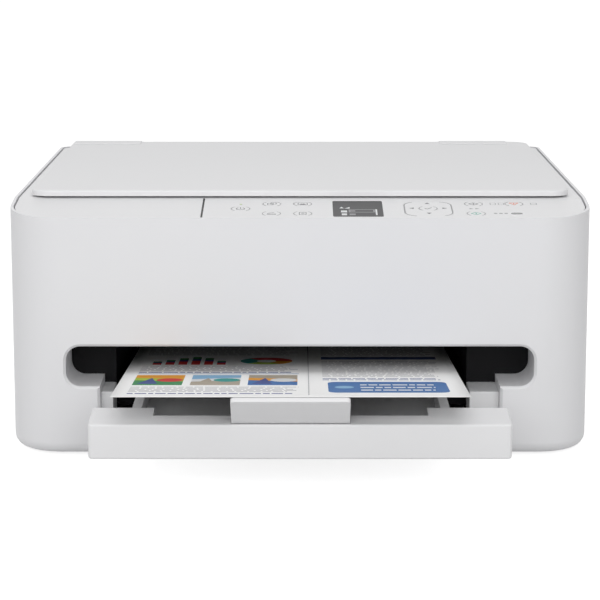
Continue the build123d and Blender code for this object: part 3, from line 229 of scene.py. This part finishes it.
def clearGlass():
    material = moulded("platenGlass", (0.86, 0.90, 0.89), rough=0.03, grain=200, depth=0.000002, blotch=0.01)
    shader = material.node_tree.nodes["Principled BSDF"]
    shader.inputs["Transmission Weight"].default_value = 0.9
    return material


paints["platenGlass"] = clearGlass()
print("materials made")

nodePaint = {
    "outer_casing": "casingWhite", "rubber_feet": "footRubber", "base_plate": "zincSteel",
    "exit_ledges": "trayWhite", "exit_frame": "blackPlastic", "output_tray": "trayWhite",
    "paper_stop": "stopWhite", "cassette": "greyPlastic", "cassette_face": "trayWhite",
    "width_guide_left": "paleGrey", "width_guide_right": "paleGrey", "length_guide": "paleGrey",
    "scanner_housing": "panelWhite", "scanner_base": "paleGrey", "scan_rail": "zincSteel",
    "platen_glass": "platenGlass", "scan_bar": "blackPlastic", "control_panel": "panelWhite",
    "status_bar": "darkWindow", "display_window": "screenGlass", "display_module": "blackPlastic",
    "indicator_lamps": "lampGrey", "panel_board": "boardGreen", "direction_pad": "keyWhite",
    "lid_shell": "lidWhite", "hinge_covers": "lidWhite", "document_pad": "padFoam",
    "chassis": "zincSteel", "carriage_rail": "zincSteel", "platen": "blackPlastic",
    "pickup_arm": "greyPlastic", "pickup_roller": "rollerRubber", "feed_roller": "rollerRubber",
    "eject_roller": "rollerRubber", "roller_belt": "beltRubber", "carriage": "blackPlastic",
    "black_cartridge": "blackPlastic", "colour_cartridge": "greyPlastic",
    "carriage_belt": "beltRubber", "carriage_motor": "zincSteel", "drive_pulley": "brass",
    "belt_bracket": "zincSteel", "idler_pulley": "paleGrey", "service_station": "greyPlastic",
    "main_board": "boardGreen", "power_supply": "blackPlastic", "mains_inlet": "socketDark",
    "usb_port": "zincSteel", "rear_cover": "casingWhite", "casing_screws": "zincSteel",
    "printed_sheet": "paper",
}
keyNodes = ["power_button", "copy_button", "scan_button", "quality_button", "size_button", "ok_button",
            "start_grey_button", "start_colour_button", "cancel_button"]
for button in keyNodes:
    nodePaint[button] = "keyWhite"

# Width in millimetres of the rounded edge that each visible shell gets
softEdges = {
    "outer_casing": 0.35, "lid_shell": 0.7, "scanner_housing": 0.25, "control_panel": 0.15,
    "output_tray": 0.5, "paper_stop": 0.6, "exit_ledges": 0.4, "cassette_face": 0.4,
    "rear_cover": 0.3, "hinge_covers": 0.2, "direction_pad": 0.15, "exit_frame": 0.3,
    "cassette": 0.4, "carriage": 0.5, "black_cartridge": 0.5, "colour_cartridge": 0.5,
    "service_station": 0.5, "power_supply": 1.0, "document_pad": 0.5, "mains_inlet": 0.2,
}
keyEdge = 0.15
for button in keyNodes:
    softEdges[button] = keyEdge


skin = {
    "mergeWithin": 0.002 * mm,
    "flatWithin": radians(0.4),
    "smoothBelow": radians(30),
    "softenAbove": radians(38),
    "segments": 2,
}


def linkPiece(piece):
    bpy.context.scene.collection.objects.link(piece)
    return piece


# A merged, smooth-shaded copy of a CAD solid with softened edges
def dressNode(node, width):
    mesh = frame["nodes"][node].data.copy()
    mesh.name = node + "Skin"
    work = bmesh.new()
    work.from_mesh(mesh)
    bmesh.ops.remove_doubles(work, verts=work.verts, dist=skin["mergeWithin"])
    bmesh.ops.dissolve_limit(work, angle_limit=skin["flatWithin"], verts=work.verts, edges=work.edges)
    for face in work.faces:
        face.smooth = True
    for edge in work.edges:
        edge.smooth = edge.calc_face_angle(0) < skin["smoothBelow"]
    work.to_mesh(mesh)
    work.free()
    mesh.materials.clear()
    mesh.materials.append(paints[nodePaint[node]])
    piece = linkPiece(bpy.data.objects.new(node + "Skin", mesh))
    if width:
        soften = piece.modifiers.new("soften", "BEVEL")
        soften.width = width * mm
        soften.segments = skin["segments"]
        soften.limit_method = "ANGLE"
        soften.angle_limit = skin["softenAbove"]
        soften.harden_normals = True
        soften.use_clamp_overlap = True
    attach(piece, bodyOfNode[node])
    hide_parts(node)


for node, width in softEdges.items():
    dressNode(node, width)
for node, paint in nodePaint.items():
    if node in softEdges or node == "printed_sheet":
        continue
    cadObject = frame["nodes"][node]
    cadObject.data.materials.clear()
    cadObject.data.materials.append(paints[paint])
print("shells dressed")


# flat marks on the sloping panel: printed signs and painted groove shade

def ringPoints(x, y, radius, start, end, count):
    step = (end - start) / count
    return [(x + radius * cos(radians(start + step * i)), y + radius * sin(radians(start + step * i)))
            for i in range(count + 1)]


def disc(x, y, radius, count=16):
    return ringPoints(x, y, radius, 0, 360 - 360 / count, count - 1)


# A band between two radii, as quads
def band(x, y, outer, inner, start, end, count):
    far = ringPoints(x, y, outer, start, end, count)
    near = ringPoints(x, y, inner, start, end, count)
    return [[far[i], far[i + 1], near[i + 1], near[i]] for i in range(count)]


def box(x0, x1, y0, y1):
    return [(x0, y0), (x1, y0), (x1, y1), (x0, y1)]


def bar(x0, y0, x1, y1, width):
    along = Vector((x1 - x0, y1 - y0)).normalized()
    side = Vector((-along.y, along.x)) * width / 2
    return [(x0 + side.x, y0 + side.y), (x0 - side.x, y0 - side.y),
            (x1 - side.x, y1 - side.y), (x1 + side.x, y1 + side.y)]


def frameOf(x0, y0, x1, y1, width):
    half = width / 2
    return [bar(x0 - half, y0, x1 + half, y0, width), bar(x0 - half, y1, x1 + half, y1, width),
            bar(x0, y0 + half, x0, y1 - half, width), bar(x1, y0 + half, x1, y1 - half, width)]


def onPanel(x, y, lift):
    return Vector((
        x * mm,
        casing["frontY"] + y * mm * cos(panelSlope) - lift * mm * sin(panelSlope),
        panelFrontZ + y * mm * sin(panelSlope) + lift * mm * cos(panelSlope),
    ))


# One thin inlay from several outlines, each a list of points in millimetres
def inlay(name, shapes, place, node, thickness=0.05, sink=0.04):
    names = []
    mesh = bpy.data.meshes.new(name)
    work = bmesh.new()
    for paint, outline in shapes:
        if paint not in names:
            names.append(paint)
        area = sum(a[0] * b[1] - b[0] * a[1] for a, b in zip(outline, outline[1:] + outline[:1]))
        points = outline if area > 0 else outline[::-1]
        top = [work.verts.new(place(x, y, thickness)) for x, y in points]
        low = [work.verts.new(place(x, y, -sink)) for x, y in points]
        faces = [work.faces.new(top), work.faces.new(low[::-1])]
        for i in range(len(points)):
            j = (i + 1) % len(points)
            faces.append(work.faces.new([low[i], low[j], top[j], top[i]]))
        for face in faces:
            face.material_index = names.index(paint)
    work.to_mesh(mesh)
    work.free()
    for paint in names:
        mesh.materials.append(paints[paint])
    piece = linkPiece(bpy.data.objects.new(name, mesh))
    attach(piece, bodyOfNode[node])


panel = {
    "ringWidth": 0.5,
    "ringInset": 0.05,
    "ringSteps": 20,
    "arcHalf": 52,
    "roundKey": 6.1,
    "powerKey": 6.25,
    "power": (-38.8, 27.6),
    "leftKeys": -18.5,
    "midKeys": 1.75,
    "backRow": 40.2,
    "frontRow": 15.2,
    "startKeys": 114.0,
    "cancelKey": 140.6,
    "pad": (83.6, 27.1),
    "padSize": (31.2, 37.3),
    "padCorner": 9.0,
    "padShadeWidth": 0.6,
    "padInset": 0.1,
    "padOpenHalf": 9,
    "okKey": 28.4,
    "screen": (37.7, 27.6),
    "screenSize": (32.6, 41.0),
    "ledY": 39.0,
    "ledRadius": 0.75,
    "ledHeight": 0.12,
    "besideKeys": 11,
    "thinInk": 0.03,
}


def painted(paint, shapes):
    return [(paint, shape) for shape in shapes]


def powerSign(x, y):
    return band(x, y, 3.0, 2.4, 120, 420, 24) + [bar(x, y + 0.4, x, y + 3.4, 0.6)]


def copySign(x, y):
    front = frameOf(x - 2.8, y - 2.6, x + 0.8, y + 1.6, 0.45)
    return front + frameOf(x - 0.6, y - 0.6, x + 2.8, y + 3.2, 0.45)


def scanSign(x, y):
    return [bar(x - 3.0, y - 2.4, x + 3.0, y - 2.4, 0.7), bar(x - 3.0, y - 0.8, x + 3.0, y - 0.8, 0.4),
            bar(x - 2.6, y + 0.4, x + 1.8, y + 3.2, 0.5)]


def pictureSign(x, y):
    hill = [(x - 2.2, y - 1.8), (x + 2.2, y - 1.8), (x + 0.7, y + 1.0),
            (x - 0.2, y - 0.3), (x - 0.9, y + 0.5)]
    return frameOf(x - 3.0, y - 2.6, x + 3.0, y + 2.8, 0.45) + [hill]


def sizeSign(x, y):
    return frameOf(x - 2.2, y - 2.8, x + 2.2, y + 3.0, 0.45) + [
        bar(x - 1.1, y + 1.0, x + 1.1, y + 1.0, 0.4), bar(x - 1.1, y - 0.6, x + 1.1, y - 0.6, 0.4)]


def startSign(x, y):
    diamond = [(x - 3.2, y), (x, y + 3.2), (x + 3.2, y), (x, y - 3.2)]
    sides = [bar(*diamond[i], *diamond[(i + 1) % 4], 0.5) for i in range(4)]
    return sides + [bar(x, y - 1.6, x, y + 1.6, 0.7)]


def cancelSign(x, y):
    corners = [(x - 3.0, y + 2.6), (x + 3.0, y + 2.6), (x, y - 2.8)]
    sides = [bar(*corners[i], *corners[(i + 1) % 3], 0.55) for i in range(3)]
    return sides + [bar(x, y - 0.4, x, y + 1.9, 0.6)]


def tickSign(x, y):
    return [bar(x - 2.2, y + 0.2, x - 0.5, y - 1.7, 0.6), bar(x - 0.6, y - 1.7, x + 2.4, y + 2.0, 0.6)]


keySigns = {
    "power_button": (*panel["power"], powerSign, "inkGrey"),
    "copy_button": (panel["leftKeys"], panel["backRow"], copySign, "inkGrey"),
    "scan_button": (panel["leftKeys"], panel["frontRow"], scanSign, "inkGrey"),
    "quality_button": (panel["midKeys"], panel["backRow"], pictureSign, "inkGrey"),
    "size_button": (panel["midKeys"], panel["frontRow"], sizeSign, "inkGrey"),
    "ok_button": (panel["pad"][0], panel["okKey"], tickSign, "inkGrey"),
    "start_grey_button": (panel["startKeys"], panel["backRow"], startSign, "inkGrey"),
    "start_colour_button": (panel["startKeys"], panel["frontRow"], startSign, "markGreen"),
    "cancel_button": (panel["cancelKey"], panel["backRow"], cancelSign, "markRed"),
}
for button, (x, y, sign, paint) in keySigns.items():
    radius = panel["powerKey"] if button == "power_button" else panel["roundKey"]
    shapes = painted(paint, sign(x, y))
    # Painted shade: two grey arcs at the left and right of each key stand for the shadow in the shallow
    # groove round it
    for start in (-panel["arcHalf"], 180 - panel["arcHalf"]):
        shapes += painted("printAndGrooveShade", band(x, y, radius - panel["ringInset"], radius - panel["ringWidth"],
                                          start, start + 2 * panel["arcHalf"], panel["ringSteps"]))
    inlay(button + "Marks", shapes, onPanel, button)


# Outline of a rectangle with round corners, as points from the lower right corner round
def roundedBox(x, y, width, depth, radius, count=8):
    points = []
    for cx, cy, start in ((1, 1, 0), (-1, 1, 90), (-1, -1, 180), (1, -1, 270)):
        points += ringPoints(x + cx * (width / 2 - radius), y + cy * (depth / 2 - radius), radius,
                             start, start + 90, count)
    return points


def boxBand(x, y, width, depth, radius, thick):
    far = roundedBox(x, y, width, depth, radius)
    near = roundedBox(x, y, width - 2 * thick, depth - 2 * thick, radius - thick)
    count = len(far)
    return [[far[i], far[(i + 1) % count], near[(i + 1) % count], near[i]] for i in range(count)
            if (Vector(far[i]) - Vector(far[(i + 1) % count])).length > 1e-6]


def arrow(x, y, turn, size=1.9):
    return [(x + size * cos(radians(turn + a)) * s, y + size * sin(radians(turn + a)) * s)
            for a, s in ((0, 1.0), (125, 1.05), (235, 1.05))]


padX, padY = panel["pad"]
padWidth, padDepth = (side - panel["padInset"] for side in panel["padSize"])
# Painted shade: the pad's outline, left open at front and back, stands for the shadow in the groove round the
# pad; the arrows are print
padBand = boxBand(padX, padY, padWidth, padDepth, panel["padCorner"], panel["padShadeWidth"])
padShapes = painted("printAndGrooveShade", [quad for quad in padBand if abs(quad[0][0] - padX) > panel["padOpenHalf"]])
padShapes += painted("inkGrey", [
    arrow(padX, padY + 14.2, 90), arrow(padX, padY - 11.2, 270),
    arrow(padX - 10.5, padY + 1.8, 180), arrow(padX + 10.5, padY + 1.8, 0),
])
inlay("padMarks", padShapes, onPanel, "direction_pad")

screenX, screenY = panel["screen"]
screenLeft = screenX - panel["screenSize"][0] / 2
screenLow = screenY - panel["screenSize"][1] / 2


# Moves an outline drawn from the screen's front left corner to its place on the panel
def fromCorner(points):
    return [(screenLeft + x, screenLow + y) for x, y in points]


screenShapes = painted("glyphWhite", [
    fromCorner([(4.2, 21.5), (7.2, 21.5), (5.7, 25.5)]),
    fromCorner([(7.6, 21.0), (11.0, 21.0), (11.0, 25.0)]),
    fromCorner(bar(5.6, 6.0, 9.0, 6.0, 4.6)),
    fromCorner(bar(5.2, 13.4, 9.2, 13.4, 5.0)),
    fromCorner(bar(28.2, 4.0, 28.2, 19.0, 1.1)),
])
screenShapes += painted("glyphGrey", [fromCorner(side) for side in frameOf(10.8, 11.5, 26.8, 18.0, 1.2)])
screenShapes += painted("glyphGrey", [
    fromCorner(bar(10.6, 6.0, 14.6, 6.0, 4.0)),
    fromCorner(bar(11.2, 14.8, 14.6, 14.8, 2.4)),
])
inlay("screenMarks", screenShapes, onPanel, "display_window", thickness=panel["thinInk"])
barFoot = [bar(-63.4, 2.9, -64.4, 1.6, 0.8), bar(-64.2, 1.7, -67.4, 0.9, 0.55)]
inlay("barFoot", painted("darkWindow", barFoot), onPanel, "status_bar", thickness=panel["thinInk"])

besideX = panel["startKeys"] + panel["besideKeys"]
stopX = panel["cancelKey"] + panel["besideKeys"]
backRow = panel["backRow"]
middleRow = (backRow + panel["frontRow"]) / 2
sidePictures = painted("printAndGrooveShade", [
    *frameOf(besideX, backRow - 2.2, besideX + 3.4, backRow + 2.4, 0.45),
    *frameOf(besideX + 5.4, backRow - 2.2, besideX + 8.8, backRow + 2.4, 0.45),
    *[disc(besideX + 1.6 + 3.4 * i, panel["frontRow"] + 0.3, 1.25) for i in range(3)],
    *frameOf(stopX, backRow - 1.8, stopX + 3.8, backRow + 2.0, 0.5),
    *[arrow(panel["startKeys"] - 2.4 + 3.8 * i, middleRow, 0, 1.7) for i in range(2)],
])
inlay("sidePictures", sidePictures, onPanel, "control_panel", thickness=panel["thinInk"])
inlay("powerLamp", painted("ledGreen", [disc(panel["power"][0], panel["ledY"], panel["ledRadius"])]), onPanel,
      "indicator_lamps", thickness=panel["ledHeight"])
print("panel marked")


# rulers beside the scanning glass and ribs in the rear cover's grip

ruler = {
    "windowFront": 68.0,
    "windowDepth": 217.0,
    "windowHalf": 150.0,
    "edgeGap": 1.2,
    "minorStep": 10.0,
    "minorLength": 2.4,
    "majorStep": 50.0,
    "majorLength": 4.6,
    "tickWidth": 0.4,
    "tickHeight": 0.05,
}
gripRibs = {
    "count": 9,
    "step": 2.6,
    "wide": 1.1,
    "tall": 8.0,
    "proud": 0.35,
    "fromTop": 6.6,
    "recess": 1.0,
}


# A box repeated along a line, with its count, start, step and size as inputs
def makeRowTree():
    tree = bpy.data.node_groups.new("boxRow", "GeometryNodeTree")
    groupSocket(tree, "Geometry", "INPUT", "NodeSocketGeometry")
    groupSocket(tree, "Count", "INPUT", "NodeSocketInt", 10)
    groupSocket(tree, "Start", "INPUT", "NodeSocketVector")
    groupSocket(tree, "Step", "INPUT", "NodeSocketVector")
    groupSocket(tree, "Box Size", "INPUT", "NodeSocketVector")
    groupSocket(tree, "Material", "INPUT", "NodeSocketMaterial")
    groupSocket(tree, "Geometry", "OUTPUT", "NodeSocketGeometry")
    start = tree.nodes.new("NodeGroupInput")
    end = tree.nodes.new("NodeGroupOutput")
    line = addNode(tree, "GeometryNodeMeshLine", mode="OFFSET")
    solid = tree.nodes.new("GeometryNodeMeshCube")
    spread = tree.nodes.new("GeometryNodeInstanceOnPoints")
    realize = tree.nodes.new("GeometryNodeRealizeInstances")
    paint = tree.nodes.new("GeometryNodeSetMaterial")
    link = tree.links.new
    link(start.outputs["Count"], line.inputs["Count"])
    link(start.outputs["Start"], line.inputs["Start Location"])
    link(start.outputs["Step"], line.inputs["Offset"])
    link(start.outputs["Box Size"], solid.inputs["Size"])
    link(line.outputs["Mesh"], spread.inputs["Points"])
    link(solid.outputs["Mesh"], spread.inputs["Instance"])
    link(spread.outputs["Instances"], realize.inputs["Geometry"])
    link(realize.outputs["Geometry"], paint.inputs["Geometry"])
    link(start.outputs["Material"], paint.inputs["Material"])
    link(paint.outputs["Geometry"], end.inputs["Geometry"])
    return tree


rowTree = makeRowTree()


def boxRow(name, values, node):
    piece = linkPiece(bpy.data.objects.new(name, bpy.data.meshes.new(name)))
    rowModifier = piece.modifiers.new("row", "NODES")
    rowModifier.node_group = rowTree
    for socket in rowTree.interface.items_tree:
        if socket.in_out == "INPUT" and socket.name in values:
            rowModifier[socket.identifier] = values[socket.name]
    bpy.context.view_layer.update()
    evaluated = piece.evaluated_get(bpy.context.evaluated_depsgraph_get())
    plain = bpy.data.meshes.new_from_object(evaluated)
    piece.modifiers.remove(rowModifier)
    piece.data = plain
    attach(piece, bodyOfNode[node])


def onDeck(x, y, lift=0.0):
    deckZ = casing["rimZ"] - casing["deckBelowRim"]
    return Vector((x * mm, casing["frontY"] + y * mm, deckZ + lift * mm))


windowBack = ruler["windowFront"] + ruler["windowDepth"]
for size in ("minor", "major"):
    step = ruler[size + "Step"]
    length = ruler[size + "Length"]
    away = ruler["edgeGap"] + length / 2
    boxRow(size + "SideTicks", {
        "Count": int(ruler["windowDepth"] // step) + 1,
        "Start": onDeck(-ruler["windowHalf"] - away, windowBack),
        "Step": (0, -step * mm, 0),
        "Box Size": (length * mm, ruler["tickWidth"] * mm, 2 * ruler["tickHeight"] * mm),
        "Material": paints["inkGrey"],
    }, "scanner_housing")
    boxRow(size + "BackTicks", {
        "Count": int(2 * ruler["windowHalf"] // step) + 1,
        "Start": onDeck(-ruler["windowHalf"], windowBack + away),
        "Step": (step * mm, 0, 0),
        "Box Size": (ruler["tickWidth"] * mm, length * mm, 2 * ruler["tickHeight"] * mm),
        "Material": paints["inkGrey"],
    }, "scanner_housing")

cornerArrow = [(-ruler["windowHalf"] - 1.4, windowBack + 1.4), (-ruler["windowHalf"] - 8.0, windowBack + 3.6),
               (-ruler["windowHalf"] - 3.6, windowBack + 8.0)]
inlay("cornerArrow", painted("inkGrey", [cornerArrow]), onDeck, "scanner_housing")

coverLow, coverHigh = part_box("rear_cover")
coverMidX = (coverLow[0] + coverHigh[0]) / 2
ribsHalf = gripRibs["step"] * (gripRibs["count"] - 1) / 2 * mm
boxRow("gripRibs", {
    "Count": gripRibs["count"],
    "Start": (coverMidX - ribsHalf, casing["backY"] - gripRibs["recess"] * mm,
              coverHigh[2] - gripRibs["fromTop"] * mm),
    "Step": (gripRibs["step"] * mm, 0, 0),
    "Box Size": (gripRibs["wide"] * mm, 2 * gripRibs["proud"] * mm, gripRibs["tall"] * mm),
    "Material": paints["casingWhite"],
}, "rear_cover")


# coloured labels on the cartridges' tabs

label = {
    "wide": 13.0,
    "deep": 5.2,
    "fromFront": 5.7,
    "gap": 0.3,
}


def labelTab(node, colours):
    tabLow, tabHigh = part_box(node)
    middleX = (tabLow[0] + tabHigh[0]) / 2 / mm
    middleY = (tabLow[1] + label["fromFront"] * mm) / mm
    part = label["wide"] / len(colours)
    shapes = []
    for i, paint in enumerate(colours):
        x = middleX - label["wide"] / 2 + part * i
        shapes.append((paint, box(x, x + part - label["gap"], middleY - label["deep"] / 2,
                                  middleY + label["deep"] / 2)))

    def onTab(x, y, lift):
        return Vector((x * mm, y * mm, tabHigh[2] + lift * mm))

    inlay(node + "Label", shapes, onTab, node)


labelTab("black_cartridge", ["glyphGrey"])
labelTab("colour_cartridge", ["inkSky", "inkRed", "inkAmber"])
print("rulers, ribs and labels made")


# the printed sheet

sheetLow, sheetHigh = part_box("printed_sheet")
sheet = {
    "width": 215.9,
    "length": 279.4,
    "solidThickness": 0.3 * mm,
    "curl": 0.8 * mm,
    "thickness": 0.16 * mm,
    "below": 0.10,
    "across": 24,
    "along": 40,
}
sheetMidX = (sheetLow[0] + sheetHigh[0]) / 2
sheetFrontZ = sheetHigh[2]
sheetBackZ = sheetLow[2] + sheet["solidThickness"]


# Place on the sheet: u in millimetres from its left edge, v from its front edge
def onSheet(u, v, lift):
    share = v / sheet["length"]
    y = sheetLow[1] + (sheetHigh[1] - sheetLow[1]) * share
    z = sheetFrontZ + (sheetBackZ - sheetFrontZ) * share - sheet["curl"] * sin(pi * share)
    return Vector((sheetMidX + (u - sheet["width"] / 2) * mm, y, z + (lift - sheet["below"]) * mm))


def makeSheet():
    mesh = bpy.data.meshes.new("printedSheetPaper")
    work = bmesh.new()
    rows = []
    for j in range(sheet["along"] + 1):
        v = sheet["length"] * j / sheet["along"]
        rows.append([work.verts.new(onSheet(sheet["width"] * i / sheet["across"], v, 0))
                     for i in range(sheet["across"] + 1)])
    for j in range(sheet["along"]):
        for i in range(sheet["across"]):
            face = work.faces.new([rows[j][i], rows[j][i + 1], rows[j + 1][i + 1], rows[j + 1][i]])
            face.smooth = True
    work.to_mesh(mesh)
    work.free()
    mesh.materials.append(paints["paper"])
    piece = linkPiece(bpy.data.objects.new("printedSheetPaper", mesh))
    thick = piece.modifiers.new("thick", "SOLIDIFY")
    thick.thickness = sheet["thickness"]
    thick.offset = -1
    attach(piece, bodyOfNode["printed_sheet"])
    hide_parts("printed_sheet")


makeSheet()

random.seed(7)
layout = {
    "margin": 9.0,
    "gutter": 119.0,
    "rightEdge": 206.0,
    "insideGutter": 6,
    "outsideGutter": 9,
    "lineStep": 5.4,
    "lineHeight": 2.1,
    "headStep": 5,
    "headHeight": 3.0,
    "leftHeads": ((16.0, 17.0), (120.0, 121.0)),
    "leftText": ((25.0, 50.0), (129.0, 152.0), (212.0, 268.0)),
    "leftRule": (112.0, 113.6),
    "rightHead": (82.0, 93.0, 6.0, 2.4),
    "rightText": ((100.0, 178.0), (208.0, 268.0)),
    "rightBar": (188.0, 200.0),
    "fold": (8.0, 272.0, 0.5),
    "pictures": (56.0, 106.0),
    "pictureWide": 31.0,
    "pictureStep": 36.0,
    "charts": 160.0,
    "columns": (16, 24, 33, 40, 34, 20),
    "columnStep": 8.6,
    "columnWide": 5.8,
    "banner": (131.0, 205.0, 20.0, 72.0),
    "bannerCorner": 6.0,
}


# Grey dashes of uneven length that stand for lines of small print
def smallPrint(x0, x1, y0, y1, paint, step=None, height=None):
    step = step or layout["lineStep"]
    height = height or layout["lineHeight"]
    shapes = []
    y = y0
    while y < y1:
        x = x0
        stop = x1 - random.uniform(0, 0.12) * (x1 - x0)
        while x < stop:
            run = random.uniform(2.5, 9.5)
            shapes.append((paint, bar(x, y, min(x + run, stop), y, height)))
            x += run + 1.2
        y += step
    return shapes


def steppedColumns(x, y):
    shapes = []
    for i, tall in enumerate(layout["columns"]):
        x0 = x + i * layout["columnStep"]
        x1 = x0 + layout["columnWide"]
        for paint, start, end in (("inkRed", 0, 0.5), ("inkNavy", 0.5, 0.72), ("inkGreen", 0.72, 1)):
            shapes.append((paint, box(x0, x1, y + tall * start, y + tall * end)))
    return shapes


def ringChart(x, y):
    shapes = []
    for paint, start, end in (("inkRed", 0, 130), ("inkTeal", 130, 225), ("inkLime", 225, 300),
                              ("inkAmber", 300, 360)):
        shapes += painted(paint, band(x, y, 17.5, 6.5, start, end, 14))
    return shapes


# Small generic pictures: bands of colour crossed by a slope, and a disc
def picture(x, y, wide, tall, sky, glow, ground, accent, tilt):
    middle = y + tall * 0.42
    upper = y + tall * 0.66
    shapes = [
        (sky, [(x, upper + tilt), (x + wide, upper - tilt), (x + wide, y + tall), (x, y + tall)]),
        (glow, [(x, middle + tilt), (x + wide, middle - tilt), (x + wide, upper - tilt), (x, upper + tilt)]),
        (ground, [(x, y), (x + wide, y), (x + wide, middle - tilt), (x, middle + tilt)]),
    ]
    hill = [(x + wide * 0.08, y + tall * 0.12), (x + wide * 0.5, y + tall * 0.12),
            (x + wide * 0.34, y + tall * 0.7)]
    return shapes, [(accent, disc(x + wide * 0.72, y + tall * 0.5, tall * 0.17)),
                    ("inkNavy" if tilt > 0 else "inkSand", hill)]


def brochure():
    shapes = []
    raised = []
    margin = layout["margin"]
    gutter = layout["gutter"]
    right = layout["rightEdge"]
    inner = gutter - layout["insideGutter"]
    outer = gutter + layout["outsideGutter"]

    def leftHead(i):
        return smallPrint(margin, inner, *layout["leftHeads"][i], "inkNavy", layout["headStep"],
                          layout["headHeight"])

    def textBlock(x0, x1, rows):
        return smallPrint(x0, x1, *rows, "inkPale")

    shapes += leftHead(0) + textBlock(margin, inner, layout["leftText"][0])
    low, high = layout["pictures"]
    pictures = (("inkAmber", "inkLime", "inkGreen", "inkRed", 3.0),
                ("inkSky", "glyphWhite", "inkSand", "inkTeal", -4.0),
                ("inkSand", "inkAmber", "inkBlue", "glyphWhite", 3.5))
    for i, colours in enumerate(pictures):
        flat, top = picture(margin + i * layout["pictureStep"], low, layout["pictureWide"], high - low,
                            *colours)
        shapes += flat
        raised += top
    shapes.append(("inkBlue", box(margin, inner, *layout["leftRule"])))
    shapes += leftHead(1) + textBlock(margin, inner, layout["leftText"][1])
    shapes += steppedColumns(margin + 6, layout["charts"])
    shapes += ringChart(margin + 82, layout["charts"] + 19)
    foldStart, foldEnd, foldWide = layout["fold"]
    shapes.append(("inkPale", box(gutter - foldWide / 2, gutter + foldWide / 2, foldStart, foldEnd)))
    x0, x1, y0, y1 = layout["banner"]
    shapes.append(("inkBlue", roundedBox((x0 + x1) / 2, (y0 + y1) / 2, x1 - x0, y1 - y0,
                                         layout["bannerCorner"], 5)))
    headStart, headEnd, headStep, headHeight = layout["rightHead"]
    shapes += smallPrint(outer, right, headStart, headEnd, "inkNavy", headStep, headHeight)
    shapes += textBlock(outer, right, layout["rightText"][0])
    shapes.append(("inkNavy", box(outer, right, *layout["rightBar"])))
    shapes += textBlock(outer, right, layout["rightText"][1])
    shapes += textBlock(margin, inner, layout["leftText"][2])
    raised += smallPrint(x0 + 20, x1 - 6, y0 + 12, y1 - 8, "glyphWhite", 12.5, 4.6)
    raised.append(("inkSky", disc(x0 + 10, (y0 + y1) / 2, 6.0)))
    return shapes, raised


baseInk, topInk = brochure()
inlay("sheetInk", baseInk, onSheet, "printed_sheet", thickness=0.03, sink=0.02)
inlay("sheetInkTop", topInk, onSheet, "printed_sheet", thickness=0.05, sink=0.01)
print("sheet printed")


# floor, light and world

light = {
    "world": 0.42,
    "floorLift": 0.8,
    "floorColour": 0.62,
    "floorHalf": 30,
    "aim": (0, 0, 0.1),
    "top": (6.7, (1.6, 1.6), (0, -0.1, 1.5)),
    "front": (16.6, (1.8, 1.0), (0, -1.9, 0.8)),
    "side": (2.0, (1.0, 1.0), (-1.5, -0.4, 0.8)),
}


def rayMask(tree):
    rays = tree.nodes.new("ShaderNodeLightPath")
    cameraOrGlossy = mathNode(tree, "MAXIMUM", rays.outputs["Is Camera Ray"], rays.outputs["Is Glossy Ray"])
    return mathNode(tree, "MAXIMUM", cameraOrGlossy, rays.outputs["Is Transmission Ray"])


def makeFloor():
    mesh = bpy.data.meshes.new("floor")
    half = light["floorHalf"]
    mesh.from_pydata([(x, y, 0) for x, y in box(-half, half, -half, half)], [], [(0, 1, 2, 3)])
    material = bpy.data.materials.new("paleFloor")
    material.use_nodes = True
    tree = material.node_tree
    shader = tree.nodes["Principled BSDF"]
    shader.inputs["Base Color"].default_value = (*[light["floorColour"]] * 3, 1)
    shader.inputs["Roughness"].default_value = 0.9
    shader.inputs["Specular IOR Level"].default_value = 0.1
    shader.inputs["Emission Color"].default_value = (1, 1, 1, 1)
    glow = mathNode(tree, "MULTIPLY", rayMask(tree), light["floorLift"])
    tree.links.new(glow, shader.inputs["Emission Strength"])
    mesh.materials.append(material)
    floor = linkPiece(bpy.data.objects.new("floor", mesh))


def softLight(name, power, size, place):
    data = bpy.data.lights.new(name, "AREA")
    data.energy = power
    data.shape = "RECTANGLE"
    data.size, data.size_y = size
    lamp = linkPiece(bpy.data.objects.new(name, data))
    lamp.location = place
    lamp.rotation_euler = (Vector(light["aim"]) - Vector(place)).to_track_quat("-Z", "Y").to_euler()


def makeWorld():
    world = bpy.data.worlds.new("studio")
    world.use_nodes = True
    tree = world.node_tree
    back = tree.nodes["Background"]
    back.inputs["Color"].default_value = (1, 1, 1, 1)
    strength = addNode(tree, "ShaderNodeMapRange")
    tree.links.new(rayMask(tree), strength.inputs["Value"])
    strength.inputs["To Min"].default_value = light["world"]
    strength.inputs["To Max"].default_value = 1.0
    tree.links.new(strength.outputs["Result"], back.inputs["Strength"])
    bpy.context.scene.world = world


makeFloor()
makeWorld()
for name in ("top", "front", "side"):
    softLight(name + "Softbox", *light[name])
print("stage lit")
